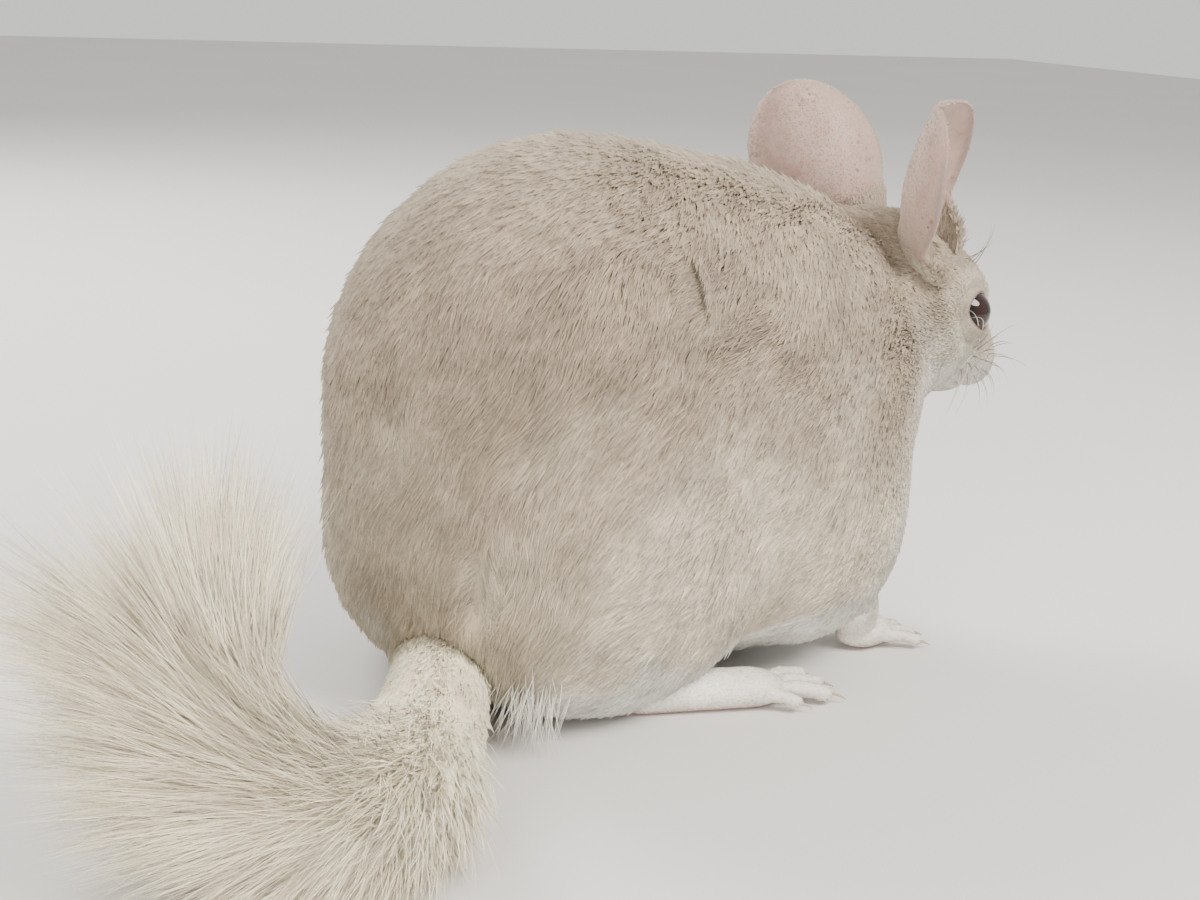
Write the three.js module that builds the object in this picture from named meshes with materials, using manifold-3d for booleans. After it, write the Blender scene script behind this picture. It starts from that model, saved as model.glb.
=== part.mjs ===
// Life-size still model of a chinchilla that crouches on all fours, with its bushy tail laid on the floor
// and curled round to its right. Millimetres, +Z up. The nose points to -Y and the animal's left is +X.
// The origin is on the floor, on the midline, under the middle of the body.
import * as THREE from "three";
import { ParametricGeometry } from "three/addons/geometries/ParametricGeometry.js";
import { mergeVertices } from "three/addons/utils/BufferGeometryUtils.js";
import Module from "manifold-3d";

const wasm = await Module();
wasm.setup();

// Driving dimensions of the animal, out to the tips of its coat
const BODY_LENGTH = 222; // rump to nose
const BODY_WIDTH = 122;
const BODY_HEIGHT = 150;
const HEAD_LENGTH = 78;
const HEAD_PITCH = 20; // degrees that the nose points below the level
const EYE_RADIUS = 7.8;
const LID_THICKNESS = 3;
const EAR_LENGTH = 48;
const EAR_WIDTH = 39;
const EAR_THICKNESS = 1.5;
const HIND_FOOT_LENGTH = 58;
const FOREPAW_LENGTH = 23;
const TAIL_RADIUS = 15.5; // of the short coat along the first half of the tail
const TAIL_CORE_RADIUS = 9; // of the brush's core, under its locks
const BRUSH_LOCK_LENGTH = 56;
const BRUSH_LOCK_WIDTH = 16;
const BRUSH_ROWS = 6;
const BRUSH_LOCKS_IN_ROW = 8;
const SEAM = 0.3; // gap kept between neighbouring pieces
const FLOOR_CLEARANCE = 0.4; // under the locks that lie along the floor

const { cos, sin, PI, min, max, sqrt, abs } = Math;
const radians = THREE.MathUtils.degToRad;
const lerp = THREE.MathUtils.lerp;
const smoothstep = THREE.MathUtils.smoothstep;
const vector = (x, y, z) => new THREE.Vector3(x, y, z);

// Places and sizes as shares of the body's three dimensions
const onBody = (x, y, z) => vector(x * BODY_WIDTH, y * BODY_LENGTH, z * BODY_HEIGHT);

// The head's own frame: its origin is between the eyes, and the nose points to its -Y
const headFrame = new THREE.Matrix4()
  .makeRotationX(radians(HEAD_PITCH))
  .setPosition(onBody(0, -0.472, 0.672));
const intoHead = headFrame.clone().invert();
const inHead = (x, y, z) => vector(x, y, z).multiplyScalar(HEAD_LENGTH);
const fromHead = (point) => point.clone().applyMatrix4(headFrame);

// One rounded mass of flesh and coat: an ellipsoid that blends into the others over a given distance
const mass = (centre, radii, blend, inverse = null) => ({ centre, radii, blend, inverse });
const mirrored = (centre, radii, blend, inverse = null) =>
  [1, -1].map((side) =>
    mass(vector(side * centre.x, centre.y, centre.z), radii, blend, inverse),
  );

const trunkMasses = [
  mass(onBody(0, 0.027, 0.535), onBody(0.492, 0.311, 0.465), 6), // back and rump
  mass(onBody(0, 0.12, 0.24), onBody(0.38, 0.2, 0.235), 26), // seat, round the root of the tail
  mass(onBody(0, -0.03, 0.285), onBody(0.45, 0.27, 0.302), 20), // belly
  mass(onBody(0, -0.22, 0.43), onBody(0.385, 0.19, 0.38), 24), // chest
  mass(onBody(0, -0.185, 0.615), onBody(0.375, 0.205, 0.305), 26), // shoulders
  ...mirrored(onBody(0.3, 0.07, 0.285), onBody(0.22, 0.2, 0.285), 12), // haunches
  ...mirrored(onBody(0.25, -0.27, 0.285), onBody(0.15, 0.115, 0.205), 22), // upper arms
  mass(onBody(0, -0.345, 0.575), onBody(0.265, 0.15, 0.25), 24), // neck and throat
];

const headMasses = [
  mass(inHead(0, 0.04, 0.015), inHead(0.325, 0.38, 0.31), 12, intoHead), // skull
  ...mirrored(inHead(0.17, -0.02, -0.12), inHead(0.175, 0.25, 0.2), 9, intoHead), // cheeks
  mass(inHead(0, -0.285, -0.06), inHead(0.19, 0.235, 0.195), 12, intoHead), // muzzle
  ...mirrored(inHead(0.088, -0.4, -0.115), inHead(0.105, 0.12, 0.115), 4, intoHead), // whisker pads
  mass(inHead(0, -0.31, -0.2), inHead(0.11, 0.15, 0.09), 5, intoHead), // chin
  mass(inHead(0, -0.505, -0.04), inHead(0.062, 0.035, 0.045), 3, intoHead), // nose
  ...mirrored(inHead(0.185, -0.12, 0.115), inHead(0.1, 0.15, 0.085), 8, intoHead), // brows
];

const bodyMasses = [...trunkMasses, ...headMasses];

// Roughly the distance from a point to an ellipsoid, negative inside
function distanceToMass(point, { centre, radii, inverse }) {
  const p = inverse ? point.clone().applyMatrix4(inverse) : point.clone();
  p.sub(centre).divide(radii);
  const scaled = p.length();
  const gradient = p.divide(radii).length();
  return (scaled * (scaled - 1)) / max(gradient, 1e-9);
}

// All the masses melted together
function distanceToBody(point) {
  return bodyMasses.reduce((nearest, one) => {
    const distance = distanceToMass(point, one);
    const overlap = max(one.blend - abs(nearest - distance), 0) / one.blend;
    return min(nearest, distance) - (overlap * overlap * one.blend) / 4;
  }, 1e3);
}

// The point where a ray that starts inside the body first leaves it, grown outwards by an allowance
function bodySurface(origin, direction, allowance) {
  const STEP = 2;
  const at = (reach) =>
    distanceToBody(origin.clone().addScaledVector(direction, reach)) - allowance;
  let outside = STEP;
  while (at(outside) < 0) outside += STEP;
  let inside = outside - STEP;
  for (let i = 0; i < 12; i++) {
    const middle = (inside + outside) / 2;
    if (at(middle) > 0) outside = middle;
    else inside = middle;
  }
  return origin.clone().addScaledVector(direction, inside);
}

// Any closed surface given as rings of points, as a solid. Its poles are single points.
function closedSolid(pointAt, slices, stacks) {
  const geometry = new ParametricGeometry(
    (u, v, target) => target.copy(pointAt(u >= 1 ? 0 : u, v)),
    slices,
    stacks,
  );
  return solidFrom(geometry);
}

function solidFrom(geometry) {
  geometry.deleteAttribute("normal");
  geometry.deleteAttribute("uv");
  const merged = mergeVertices(geometry, 1e-3);
  const kept = [];
  const index = merged.index.array;
  for (let i = 0; i < index.length; i += 3) {
    const [a, b, c] = index.slice(i, i + 3);
    if (a !== b && b !== c && c !== a) kept.push(a, b, c);
  }
  const solid = new wasm.Manifold(
    new wasm.Mesh({
      numProp: 3,
      vertProperties: merged.attributes.position.array,
      triVerts: new Uint32Array(kept),
    }),
  );
  if (solid.volume() > 0) return solid;
  for (let i = 0; i < kept.length; i += 3) [kept[i], kept[i + 1]] = [kept[i + 1], kept[i]];
  return new wasm.Manifold(
    new wasm.Mesh({
      numProp: 3,
      vertProperties: merged.attributes.position.array,
      triVerts: new Uint32Array(kept),
    }),
  );
}

// The line through the body that its surface is measured from. The points are closer together in the head.
const bodyAxis = new THREE.CatmullRomCurve3([
  onBody(0, 0.135, 0.42),
  onBody(0, 0.01, 0.47),
  onBody(0, -0.12, 0.515),
  onBody(0, -0.225, 0.565),
  onBody(0, -0.31, 0.615),
  onBody(0, -0.385, 0.65),
  fromHead(inHead(0, 0.02, -0.01)),
  fromHead(inHead(0, -0.11, -0.01)),
  fromHead(inHead(0, -0.23, -0.03)),
  fromHead(inHead(0, -0.33, -0.05)),
  fromHead(inHead(0, -0.42, -0.07)),
]);
const BODY_SLICES = 30;
const BODY_RINGS = 33;
const END_RINGS = 6;
const REAR_RING_RISE = 14; // degrees that the rings lean, from the level
const FRONT_RING_RISE = -12;

// The body's surface, found by rays from that line. The rays fan out round both its ends.
function wrappedBody(allowance) {
  const stacks = BODY_RINGS + 2 * END_RINGS;
  return closedSolid(
    (u, v) => {
      const ring = v * stacks;
      const rear = max(1 - ring / END_RINGS, 0);
      const front = max((ring - END_RINGS - BODY_RINGS) / END_RINGS, 0);
      const share = min(max((ring - END_RINGS) / BODY_RINGS, 0), 1);
      const centre = bodyAxis.getPoint(share);
      const rise = radians(lerp(REAR_RING_RISE, FRONT_RING_RISE, share));
      const forward = vector(0, -cos(rise), sin(rise));
      const tilt = ((front - rear) * PI) / 2;
      const side = vector(1, 0, 0);
      const up = new THREE.Vector3().crossVectors(side, forward).normalize();
      const direction = side
        .multiplyScalar(cos(2 * PI * u))
        .addScaledVector(up, sin(2 * PI * u))
        .multiplyScalar(cos(tilt))
        .addScaledVector(forward, sin(tilt));
      return bodySurface(centre, direction, allowance);
    },
    BODY_SLICES,
    stacks,
  );
}

const unionOf = (solids) => wasm.Manifold.union(solids);
const aboveFloor = (solid) => solid.trimByPlane([0, 0, 1], 0);
// The largest closed body of a solid, without the slivers that cuts leave
const largestBody = (solid, sliver = 0.03) =>
  solid
    .simplify(sliver)
    .decompose()
    .reduce((best, one) => (one.volume() > best.volume() ? one : best));

const body = aboveFloor(wrappedBody(0));
const grownBody = wrappedBody(SEAM);

// The part of a solid on the side of a plane that its normal points to, short of the plane by half a seam
const beyond = (solid, point, normal) =>
  solid.trimByPlane(normal.toArray(), point.dot(normal) + SEAM / 2);

function ellipsoid(centre, radii, allowance = 0, slices = 18) {
  const geometry = new THREE.SphereGeometry(1, slices, Math.round(slices * 0.65));
  geometry.scale(radii.x + allowance, radii.y + allowance, radii.z + allowance);
  geometry.translate(centre.x, centre.y, centre.z);
  return solidFrom(geometry);
}

// A rounded rod along a curve, whose half width and half height vary along it. Its ends close to a point.
function softRod(curve, halfWidthAt, halfHeightAt, slices, stacks, across = vector(1, 0, 0)) {
  return closedSolid(
    (u, v) => {
      const centre = curve.getPoint(v);
      const forward = curve.getTangent(v);
      const side = across.clone().addScaledVector(forward, -across.dot(forward)).normalize();
      const up = new THREE.Vector3().crossVectors(side, forward).normalize();
      const open = v > 0 && v < 1 ? 1 : 0;
      return centre
        .addScaledVector(side, open * halfWidthAt(v) * cos(2 * PI * u))
        .addScaledVector(up, open * halfHeightAt(v) * sin(2 * PI * u));
    },
    slices,
    stacks,
  );
}

// Rises from nought at both ends of a rod, so that it ends in a dome, with its greatest value between them
const domed = (v, first, last, sharpness = 0.16) => {
  const start = min(v / sharpness, 1);
  const end = min((1 - v) / sharpness, 1);
  return lerp(first, last, v) * sqrt(start * (2 - start)) * sqrt(end * (2 - end));
};

// Neck and limb seams
const NECK_REAR = onBody(0, -0.325, 0.6);
const NECK_FRONT = onBody(0, -0.385, 0.64);
const NECK_NORMAL = vector(0, -0.94, 0.34).normalize();

const haunchCut = (side, allowance) =>
  ellipsoid(onBody(side * 0.37, 0.065, 0.27), onBody(0.235, 0.185, 0.29), allowance, 20);
const armCut = (side, allowance) =>
  ellipsoid(onBody(side * 0.3, -0.285, 0.22), onBody(0.15, 0.1, 0.235), allowance, 16);

// Forearm: from inside the chest down to the wrist
function forearm(side, allowance) {
  const curve = new THREE.CatmullRomCurve3([
    onBody(side * 0.234, -0.288, 0.262),
    onBody(side * 0.215, -0.345, 0.13),
    onBody(side * 0.205, -0.372, 0.03),
  ]);
  const radiusAt = (v) => domed(v, 11, 7.2, 0.14) + allowance;
  return softRod(curve, radiusAt, radiusAt, 12, 6);
}

const WRIST = (side) => onBody(side * 0.205, -0.365, 0.062);

// A finger or toe: a slim rod that arches from the knuckle down to the floor and ends in a small claw
function digit(root, tip, radius, arch) {
  const middle = root.clone().lerp(tip, 0.5).add(vector(0, 0, arch));
  const curve = new THREE.QuadraticBezierCurve3(root, middle, tip);
  const across = new THREE.Vector3()
    .crossVectors(tip.clone().sub(root), vector(0, 0, 1))
    .normalize();
  const rod = softRod(
    curve,
    (v) => domed(v, radius, radius * 0.85, 0.12),
    (v) => domed(v, radius, radius * 0.8, 0.12),
    5,
    4,
    across,
  );
  const forward = tip.clone().sub(root).setZ(0).normalize();
  const clawCurve = new THREE.QuadraticBezierCurve3(
    tip.clone().addScaledVector(forward, -radius * 1.2).add(vector(0, 0, radius * 0.35)),
    tip.clone().addScaledVector(forward, radius * 0.5).add(vector(0, 0, radius * 0.65)),
    tip.clone().addScaledVector(forward, radius * 1.3).add(vector(0, 0, -radius * 0.35)),
  );
  const claw = softRod(
    clawCurve,
    (v) => radius * 0.42 * sqrt(sin(PI * min(0.1 + v, 1))) * (1 - 0.75 * v),
    (v) => radius * 0.42 * sqrt(sin(PI * min(0.1 + v, 1))) * (1 - 0.75 * v),
    4,
    3,
    across,
  );
  return [rod, claw];
}

// Forepaw: a small palm and four slender fingers that spread forwards
function forepaw(side) {
  const palm = onBody(side * 0.205, -0.383, 0).setZ(4.6);
  const pieces = [ellipsoid(palm, vector(7, FOREPAW_LENGTH * 0.42, 5.2), 0, 10)];
  const fingers = 4;
  for (let i = 0; i < fingers; i++) {
    const spread = (i / (fingers - 1) - 0.5) * 2;
    const reach = FOREPAW_LENGTH * (0.62 - 0.1 * spread * spread);
    const turn = radians(30 * spread - side * 4);
    const root = palm.clone().add(vector(4.4 * spread, -FOREPAW_LENGTH * 0.16, -1.4));
    const tip = root.clone().add(vector(reach * sin(turn), -reach * cos(turn), 0)).setZ(1.7);
    pieces.push(...digit(root, tip, 2.1, 2.6));
  }
  return unionOf(pieces);
}

// Hind foot: a long narrow sole with three long toes and a short outer one
const HEEL = (side) => onBody(side * 0.315, 0.03, 0).setZ(5);
const BALL = (side) => onBody(side * 0.395, -0.135, 0).setZ(4.4);
function hindFoot(side) {
  const heel = HEEL(side);
  const ball = BALL(side);
  const forward = ball.clone().sub(heel).setZ(0).normalize();
  const across = vector(forward.y, -forward.x, 0);
  const sole = softRod(
    new THREE.LineCurve3(
      heel.clone().addScaledVector(forward, -5),
      ball.clone().addScaledVector(forward, 7),
    ),
    (v) => domed(v, 6.8, 8.4, 0.2),
    (v) => domed(v, 6.5, 5.2, 0.2),
    12,
    7,
    across,
  );
  const pieces = [sole];
  const toes = [-0.95, -0.3, 0.35, 0.95];
  toes.forEach((spread, i) => {
    const outermost = i === (side > 0 ? 0 : toes.length - 1);
    const reach = HIND_FOOT_LENGTH * (outermost ? 0.2 : 0.33 - 0.05 * abs(spread));
    const turn = radians(-22 * spread);
    const aim = forward.clone().applyAxisAngle(vector(0, 0, 1), turn);
    const root = ball
      .clone()
      .addScaledVector(across, 5.2 * spread)
      .addScaledVector(forward, outermost ? -2 : 2)
      .setZ(3.2);
    const tip = root.clone().addScaledVector(aim, reach).setZ(2);
    pieces.push(...digit(root, tip, outermost ? 2.2 : 2.7, 3.2));
  });
  return unionOf(pieces);
}

// Ear: a thin cup, tubular where it leaves the head and opening into a broad round leaf
function ear(side) {
  const base = fromHead(inHead(side * 0.235, 0.13, 0.2));
  const rise = vector(side * 0.42, 0.3, 0.86).normalize();
  const lateral = vector(side * 0.62, 0.78, -0.3);
  const across = lateral.addScaledVector(rise, -lateral.dot(rise)).normalize();
  const facing = new THREE.Vector3().crossVectors(across, rise).multiplyScalar(side).normalize();
  const POINTS = 16;
  const STACKS = 11;
  return closedSolid(
    (u, share) => {
      const v = 1 - (1 - share) ** 1.6;
      const column = Math.round(u * POINTS);
      const half = POINTS / 2;
      const outer = column < half;
      const along = (outer ? column : POINTS - 1 - column) / (half - 1);
      const openness = smoothstep(v, 0.02, 0.32);
      const halfAngle = lerp(radians(118), radians(62), openness);
      const rounding = sqrt(max(1 - ((v - 0.56) / 0.44) ** 2, 0));
      const petal = 0.4 + 0.6 * sin((PI / 2) * min(v / 0.56, 1)) ** 1.4;
      const width = EAR_WIDTH * (v > 0.56 ? rounding : petal) * (v > 0 ? 1 : 0);
      const radius = width / 2 / sin(min(halfAngle, PI / 2));
      const angle = lerp(-halfAngle, halfAngle, along);
      const wall = min(EAR_THICKNESS, width * 0.3) / 2;
      const shell = max(radius + (outer ? wall : -wall), 0);
      const backwards = EAR_LENGTH * 0.1 * sin(PI * v);
      return base
        .clone()
        .addScaledVector(rise, EAR_LENGTH * (1.18 * v - 0.18))
        .addScaledVector(across, shell * sin(angle))
        .addScaledVector(facing, radius - shell * cos(angle) - backwards - 3);
    },
    POINTS,
    STACKS,
  );
}

// Eye, its socket and its lids
const eyeCentre = (side) => fromHead(inHead(side * 0.256, -0.15, 0.03));
const eyeball = (side, allowance) =>
  ellipsoid(eyeCentre(side), vector(EYE_RADIUS, EYE_RADIUS, EYE_RADIUS), allowance, 12);
const gaze = (side) => vector(side * 0.86, -0.46, 0.18).normalize();

function lids(side) {
  const ring = new THREE.TorusGeometry(EYE_RADIUS * 0.86, LID_THICKNESS / 2, 6, 16);
  const look = gaze(side);
  const slant = new THREE.Matrix4().lookAt(look, vector(0, 0, 0), vector(0, 0, 1));
  ring.scale(1.08, 0.9, 1);
  ring.applyMatrix4(slant);
  const centre = eyeCentre(side).addScaledVector(look, EYE_RADIUS * 0.5);
  ring.translate(centre.x, centre.y, centre.z);
  return solidFrom(ring);
}

// Nostril: a small slanted pit beside the nose
const nostril = (side) =>
  ellipsoid(fromHead(inHead(side * 0.036, -0.54, -0.045)), vector(1.15, 2.4, 1.5), 0, 8);

// The line of the mouth, with the cleft of the upper lip above it, as thin curved grooves
function mouthLine() {
  const corners = [
    inHead(-0.12, -0.37, -0.215),
    inHead(-0.065, -0.47, -0.2),
    inHead(0, -0.51, -0.165),
    inHead(0.065, -0.47, -0.2),
    inHead(0.12, -0.37, -0.215),
  ].map(fromHead);
  const lips = softRod(
    new THREE.CatmullRomCurve3(corners),
    (v) => 3 * sqrt(sin(PI * v) + 1e-9),
    (v) => 0.75 * sqrt(sin(PI * v) + 1e-9),
    6,
    14,
    vector(0, 1, 0),
  );
  const cleft = softRod(
    new THREE.LineCurve3(
      fromHead(inHead(0, -0.545, -0.085)),
      fromHead(inHead(0, -0.505, -0.175)),
    ),
    (v) => 0.55 * sqrt(sin(PI * v) + 1e-9),
    (v) => 1.8 * sqrt(sin(PI * v) + 1e-9),
    6,
    4,
  );
  return unionOf([lips, cleft]);
}

function makeHead() {
  const whole = unionOf([body, lids(1), lids(-1)]);
  const cut = [1, -1].flatMap((side) => [eyeball(side, SEAM), nostril(side)]);
  const carved = whole.subtract(unionOf([...cut, mouthLine()]));
  return largestBody(beyond(carved, NECK_FRONT, NECK_NORMAL));
}

// Tail: it leaves the seat beside the midline, runs back along the floor and curls up at its end
const tailPath = new THREE.CatmullRomCurve3([
  vector(8, 28, 22),
  vector(-6, 44, 16),
  vector(-32, 60, 14),
  vector(-58, 77, 13.5),
  vector(-79, 94, 14),
  vector(-89, 112, 16.5),
  vector(-84, 127, 25),
  vector(-74, 134, 38),
]);
const TAIL_ROOT_END = 0.36; // shares of the path where one length of tail ends
const TAIL_MIDDLE_END = 0.58;
const tailAcross = vector(0.5, 0.86, 0);

function tailLength(from, to) {
  const radiusAt = (v) => lerp(TAIL_RADIUS, TAIL_RADIUS * 1.12, v);
  const part = new THREE.CatmullRomCurve3(
    Array.from({ length: 9 }, (_, i) => tailPath.getPoint(lerp(from, to, i / 8))),
  );
  return softRod(
    part,
    (v) => radiusAt(lerp(from, to, v)),
    (v) => radiusAt(lerp(from, to, v)) * 0.95,
    14,
    12,
    tailAcross,
  );
}

// The tail between two of its seams, which are square to its path
function tailBetween(solid, from, to) {
  let kept = solid;
  if (from > 0) kept = beyond(kept, tailPath.getPoint(from), tailPath.getTangent(from));
  if (to < 1) kept = beyond(kept, tailPath.getPoint(to), tailPath.getTangent(to).negate());
  return aboveFloor(kept);
}

// A repeatable random number from 0 to 1
function seededRandom(seed) {
  let state = seed;
  return () => {
    state = (state * 16807) % 2147483647;
    return state / 2147483647;
  };
}

// One flat, tapered lock of hair: it leaves its root along one direction and bends towards another
function lock(root, away, settle, length, width, thickness) {
  const bend = root.clone().addScaledVector(away, length * 0.5);
  const tip = bend.clone().addScaledVector(settle, length * 0.55);
  const lowest = thickness / 2 + FLOOR_CLEARANCE;
  for (const point of [root, bend, tip]) point.z = max(point.z, lowest);
  const across = new THREE.Vector3().crossVectors(away, settle).normalize();
  return softRod(
    new THREE.QuadraticBezierCurve3(root, bend, tip),
    (v) => (width / 2) * sin(PI * v ** 0.62) ** 0.8,
    (v) => (thickness / 2) * (1 - v) ** 0.5,
    4,
    4,
    across,
  );
}

// The brush: a core that ends half way up the hair, and rows of locks that overlap like tiles round it
function makeBrush() {
  const random = seededRandom(4711);
  const vary = (spread) => 1 + (random() - 0.5) * spread;
  const start = TAIL_MIDDLE_END;
  const core = new THREE.CatmullRomCurve3(
    Array.from({ length: 9 }, (_, i) => tailPath.getPoint(lerp(start - 0.04, 1, i / 8))),
  );
  const coreRadius = (v) => lerp(TAIL_RADIUS, TAIL_CORE_RADIUS * 0.7, v);
  const pieces = [softRod(core, coreRadius, coreRadius, 10, 7, tailAcross)];
  for (let row = 0; row < BRUSH_ROWS; row++) {
    const share = (row + 0.7) / BRUSH_ROWS;
    const forward = core.getTangent(share);
    const side = tailAcross.clone().addScaledVector(forward, -tailAcross.dot(forward)).normalize();
    const up = new THREE.Vector3().crossVectors(side, forward).normalize();
    for (let i = 0; i < BRUSH_LOCKS_IN_ROW; i++) {
      const turn = (i + 0.5 * (row % 2) + 0.35 * (random() - 0.5)) / BRUSH_LOCKS_IN_ROW;
      const outward = side
        .clone()
        .multiplyScalar(cos(2 * PI * turn))
        .addScaledVector(up, sin(2 * PI * turn));
      const root = core.getPoint(share).addScaledVector(outward, coreRadius(share) * 0.5);
      const lean = radians(lerp(34, 24, share) * vary(0.3));
      const spread = radians(lerp(16, 46, share) * vary(0.4));
      const along = (angle) =>
        forward.clone().multiplyScalar(cos(angle)).addScaledVector(outward, sin(angle));
      const length = BRUSH_LOCK_LENGTH * lerp(0.6, 1, share) * vary(0.25);
      const width = BRUSH_LOCK_WIDTH * vary(0.3);
      pieces.push(lock(root, along(lean), along(spread), length, width, 3 * vary(0.2)));
    }
  }
  return largestBody(tailBetween(unionOf(pieces), start, 1), 0.12);
}

// Pieces of the trunk, parted by thin cuts
function makeTrunk() {
  const limbs = [1, -1].flatMap((side) => [
    haunchCut(side, SEAM),
    armCut(side, SEAM),
    forearm(side, SEAM),
  ]);
  const backwards = NECK_NORMAL.clone().negate();
  const torso = beyond(body, NECK_REAR, backwards).subtract(unionOf(limbs));
  const neck = beyond(beyond(body, NECK_REAR, NECK_NORMAL), NECK_FRONT, backwards);
  return { torso: largestBody(torso), neck: largestBody(neck.subtract(unionOf(limbs))) };
}

function makeForeleg(side) {
  const upper = beyond(body, NECK_REAR, NECK_NORMAL.clone().negate()).intersect(
    armCut(side, 0),
  );
  const leg = aboveFloor(unionOf([upper, forearm(side, 0)]));
  return largestBody(beyond(leg, WRIST(side), vector(0, 0.35, 0.94).normalize()));
}

function makeForepaw(side) {
  const paw = aboveFloor(unionOf([forepaw(side), forearm(side, 0)]));
  return largestBody(beyond(paw, WRIST(side), vector(0, -0.35, -0.94).normalize()));
}

const { torso, neck } = makeTrunk();

// Colours and finishes
const finish = (colour, roughness = 0.9) =>
  new THREE.MeshStandardMaterial({ color: colour, roughness, metalness: 0 });
const coat = finish("#b3a594");
const paleCoat = finish("#d8cdb9");
const bareSkin = finish("#c9a294", 0.7);
const eyeGloss = finish("#1a0d0c", 0.08);

const chinchilla = new THREE.Group();
function add(name, solid, material) {
  const { vertProperties, triVerts } = solid.getMesh();
  const geometry = new THREE.BufferGeometry();
  geometry.setAttribute("position", new THREE.BufferAttribute(vertProperties, 3));
  geometry.setIndex(new THREE.BufferAttribute(triVerts, 1));
  geometry.computeVertexNormals();
  const mesh = new THREE.Mesh(geometry, material);
  mesh.name = name;
  chinchilla.add(mesh);
}

add("torso", torso, coat);
add("neck", neck, coat);
add("head", makeHead(), coat);
for (const [name, side] of [
  ["left", 1],
  ["right", -1],
]) {
  add(`ear_${name}`, largestBody(ear(side).subtract(grownBody)), bareSkin);
  add(`eye_${name}`, eyeball(side, 0), eyeGloss);
  add(`hind_leg_${name}`, largestBody(body.intersect(haunchCut(side, 0))), coat);
  add(`hind_foot_${name}`, largestBody(aboveFloor(hindFoot(side).subtract(grownBody))), paleCoat);
  add(`foreleg_${name}`, makeForeleg(side), coat);
  add(`forepaw_${name}`, makeForepaw(side), paleCoat);
}
add(
  "tail_root",
  largestBody(tailBetween(tailLength(0, TAIL_ROOT_END + 0.04), 0, TAIL_ROOT_END).subtract(grownBody)),
  paleCoat,
);
add(
  "tail_middle",
  largestBody(
    tailBetween(
      tailLength(TAIL_ROOT_END - 0.04, TAIL_MIDDLE_END + 0.04),
      TAIL_ROOT_END,
      TAIL_MIDDLE_END,
    ),
  ),
  paleCoat,
);
add("tail_brush", makeBrush(), paleCoat);

export default chinchilla;
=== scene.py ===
import math
from functools import lru_cache

import bpy
import numpy as np
from bpy.props import FloatProperty, FloatVectorProperty, IntProperty, PointerProperty
from mathutils import Matrix, Vector


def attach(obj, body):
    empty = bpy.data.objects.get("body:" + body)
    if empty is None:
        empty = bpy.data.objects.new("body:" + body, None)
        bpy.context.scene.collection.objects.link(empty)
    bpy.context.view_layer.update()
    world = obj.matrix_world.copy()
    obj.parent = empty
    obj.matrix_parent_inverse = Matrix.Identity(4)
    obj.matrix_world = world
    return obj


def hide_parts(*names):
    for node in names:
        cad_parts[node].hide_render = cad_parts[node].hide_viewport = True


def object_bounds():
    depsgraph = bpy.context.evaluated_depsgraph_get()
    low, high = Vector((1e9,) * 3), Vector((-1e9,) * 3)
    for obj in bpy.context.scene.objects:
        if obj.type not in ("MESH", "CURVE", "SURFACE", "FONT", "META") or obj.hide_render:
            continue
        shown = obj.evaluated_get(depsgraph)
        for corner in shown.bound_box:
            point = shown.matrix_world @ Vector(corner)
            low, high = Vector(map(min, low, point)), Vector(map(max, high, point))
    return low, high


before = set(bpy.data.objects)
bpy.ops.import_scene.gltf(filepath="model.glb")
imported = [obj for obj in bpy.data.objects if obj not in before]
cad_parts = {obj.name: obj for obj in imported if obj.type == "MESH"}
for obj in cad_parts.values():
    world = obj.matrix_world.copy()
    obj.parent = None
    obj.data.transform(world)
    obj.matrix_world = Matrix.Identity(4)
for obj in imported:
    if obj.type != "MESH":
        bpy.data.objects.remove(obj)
CAD_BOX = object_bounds()

bl_info = {
    "name": "Chinchilla",
    "version": (1, 0, 0),
    "blender": (4, 5, 0),
    "location": "3D View > Sidebar > Chinchilla",
    "description": "Builds a life-size chinchilla: its skin, coat, brush, ears, eyes, whiskers and claws",
    "category": "Add Mesh",
}

# Shapes are worked out in millimetres and turned into metres when a mesh is made.
MM = 0.001
BODY_WIDTH, BODY_LENGTH, BODY_HEIGHT = 122.0, 222.0, 150.0
HEAD_LENGTH = 78.0
FOREPAW_LENGTH = 23.0
HIND_FOOT_LENGTH = 58.0
FLOOR_GAP = 0.3  # the lowest that a hair lies over the floor

# The shares of the skin's flat layout that each part of it takes: left, bottom, width, height
LAYOUT = {
    "body": (0.005, 0.005, 0.70, 0.99),
    "tail": (0.72, 0.005, 0.12, 0.99),
    "foreleg_left": (0.86, 0.005, 0.13, 0.20),
    "foreleg_right": (0.86, 0.22, 0.13, 0.20),
    "hind_foot_left": (0.86, 0.44, 0.13, 0.20),
    "hind_foot_right": (0.86, 0.66, 0.13, 0.20),
    "ear_left": (0.86, 0.88, 0.06, 0.11),
    "ear_right": (0.93, 0.88, 0.06, 0.11),
}


# Numbers and vectors


def lerp(a, b, share):
    return a + (b - a) * share


def smoothstep(value, low, high):
    share = np.clip((value - low) / (high - low), 0, 1)
    return share * share * (3 - 2 * share)


def unit(vectors):
    return vectors / np.maximum(np.linalg.norm(vectors, axis=-1, keepdims=True), 1e-9)


def dot(a, b):
    return np.sum(a * b, axis=-1, keepdims=True)


def across_surface(directions, normals):
    """The directions laid flat on the surface."""
    return unit(directions - dot(directions, normals) * normals)


def domed(share, first, last, sharpness):
    """Goes from one value to another, and closes in a dome at both ends."""
    start = np.clip(share / sharpness, 0, 1)
    end = np.clip((1 - share) / sharpness, 0, 1)
    return lerp(first, last, share) * np.sqrt(start * (2 - start)) * np.sqrt(end * (2 - end))


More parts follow.
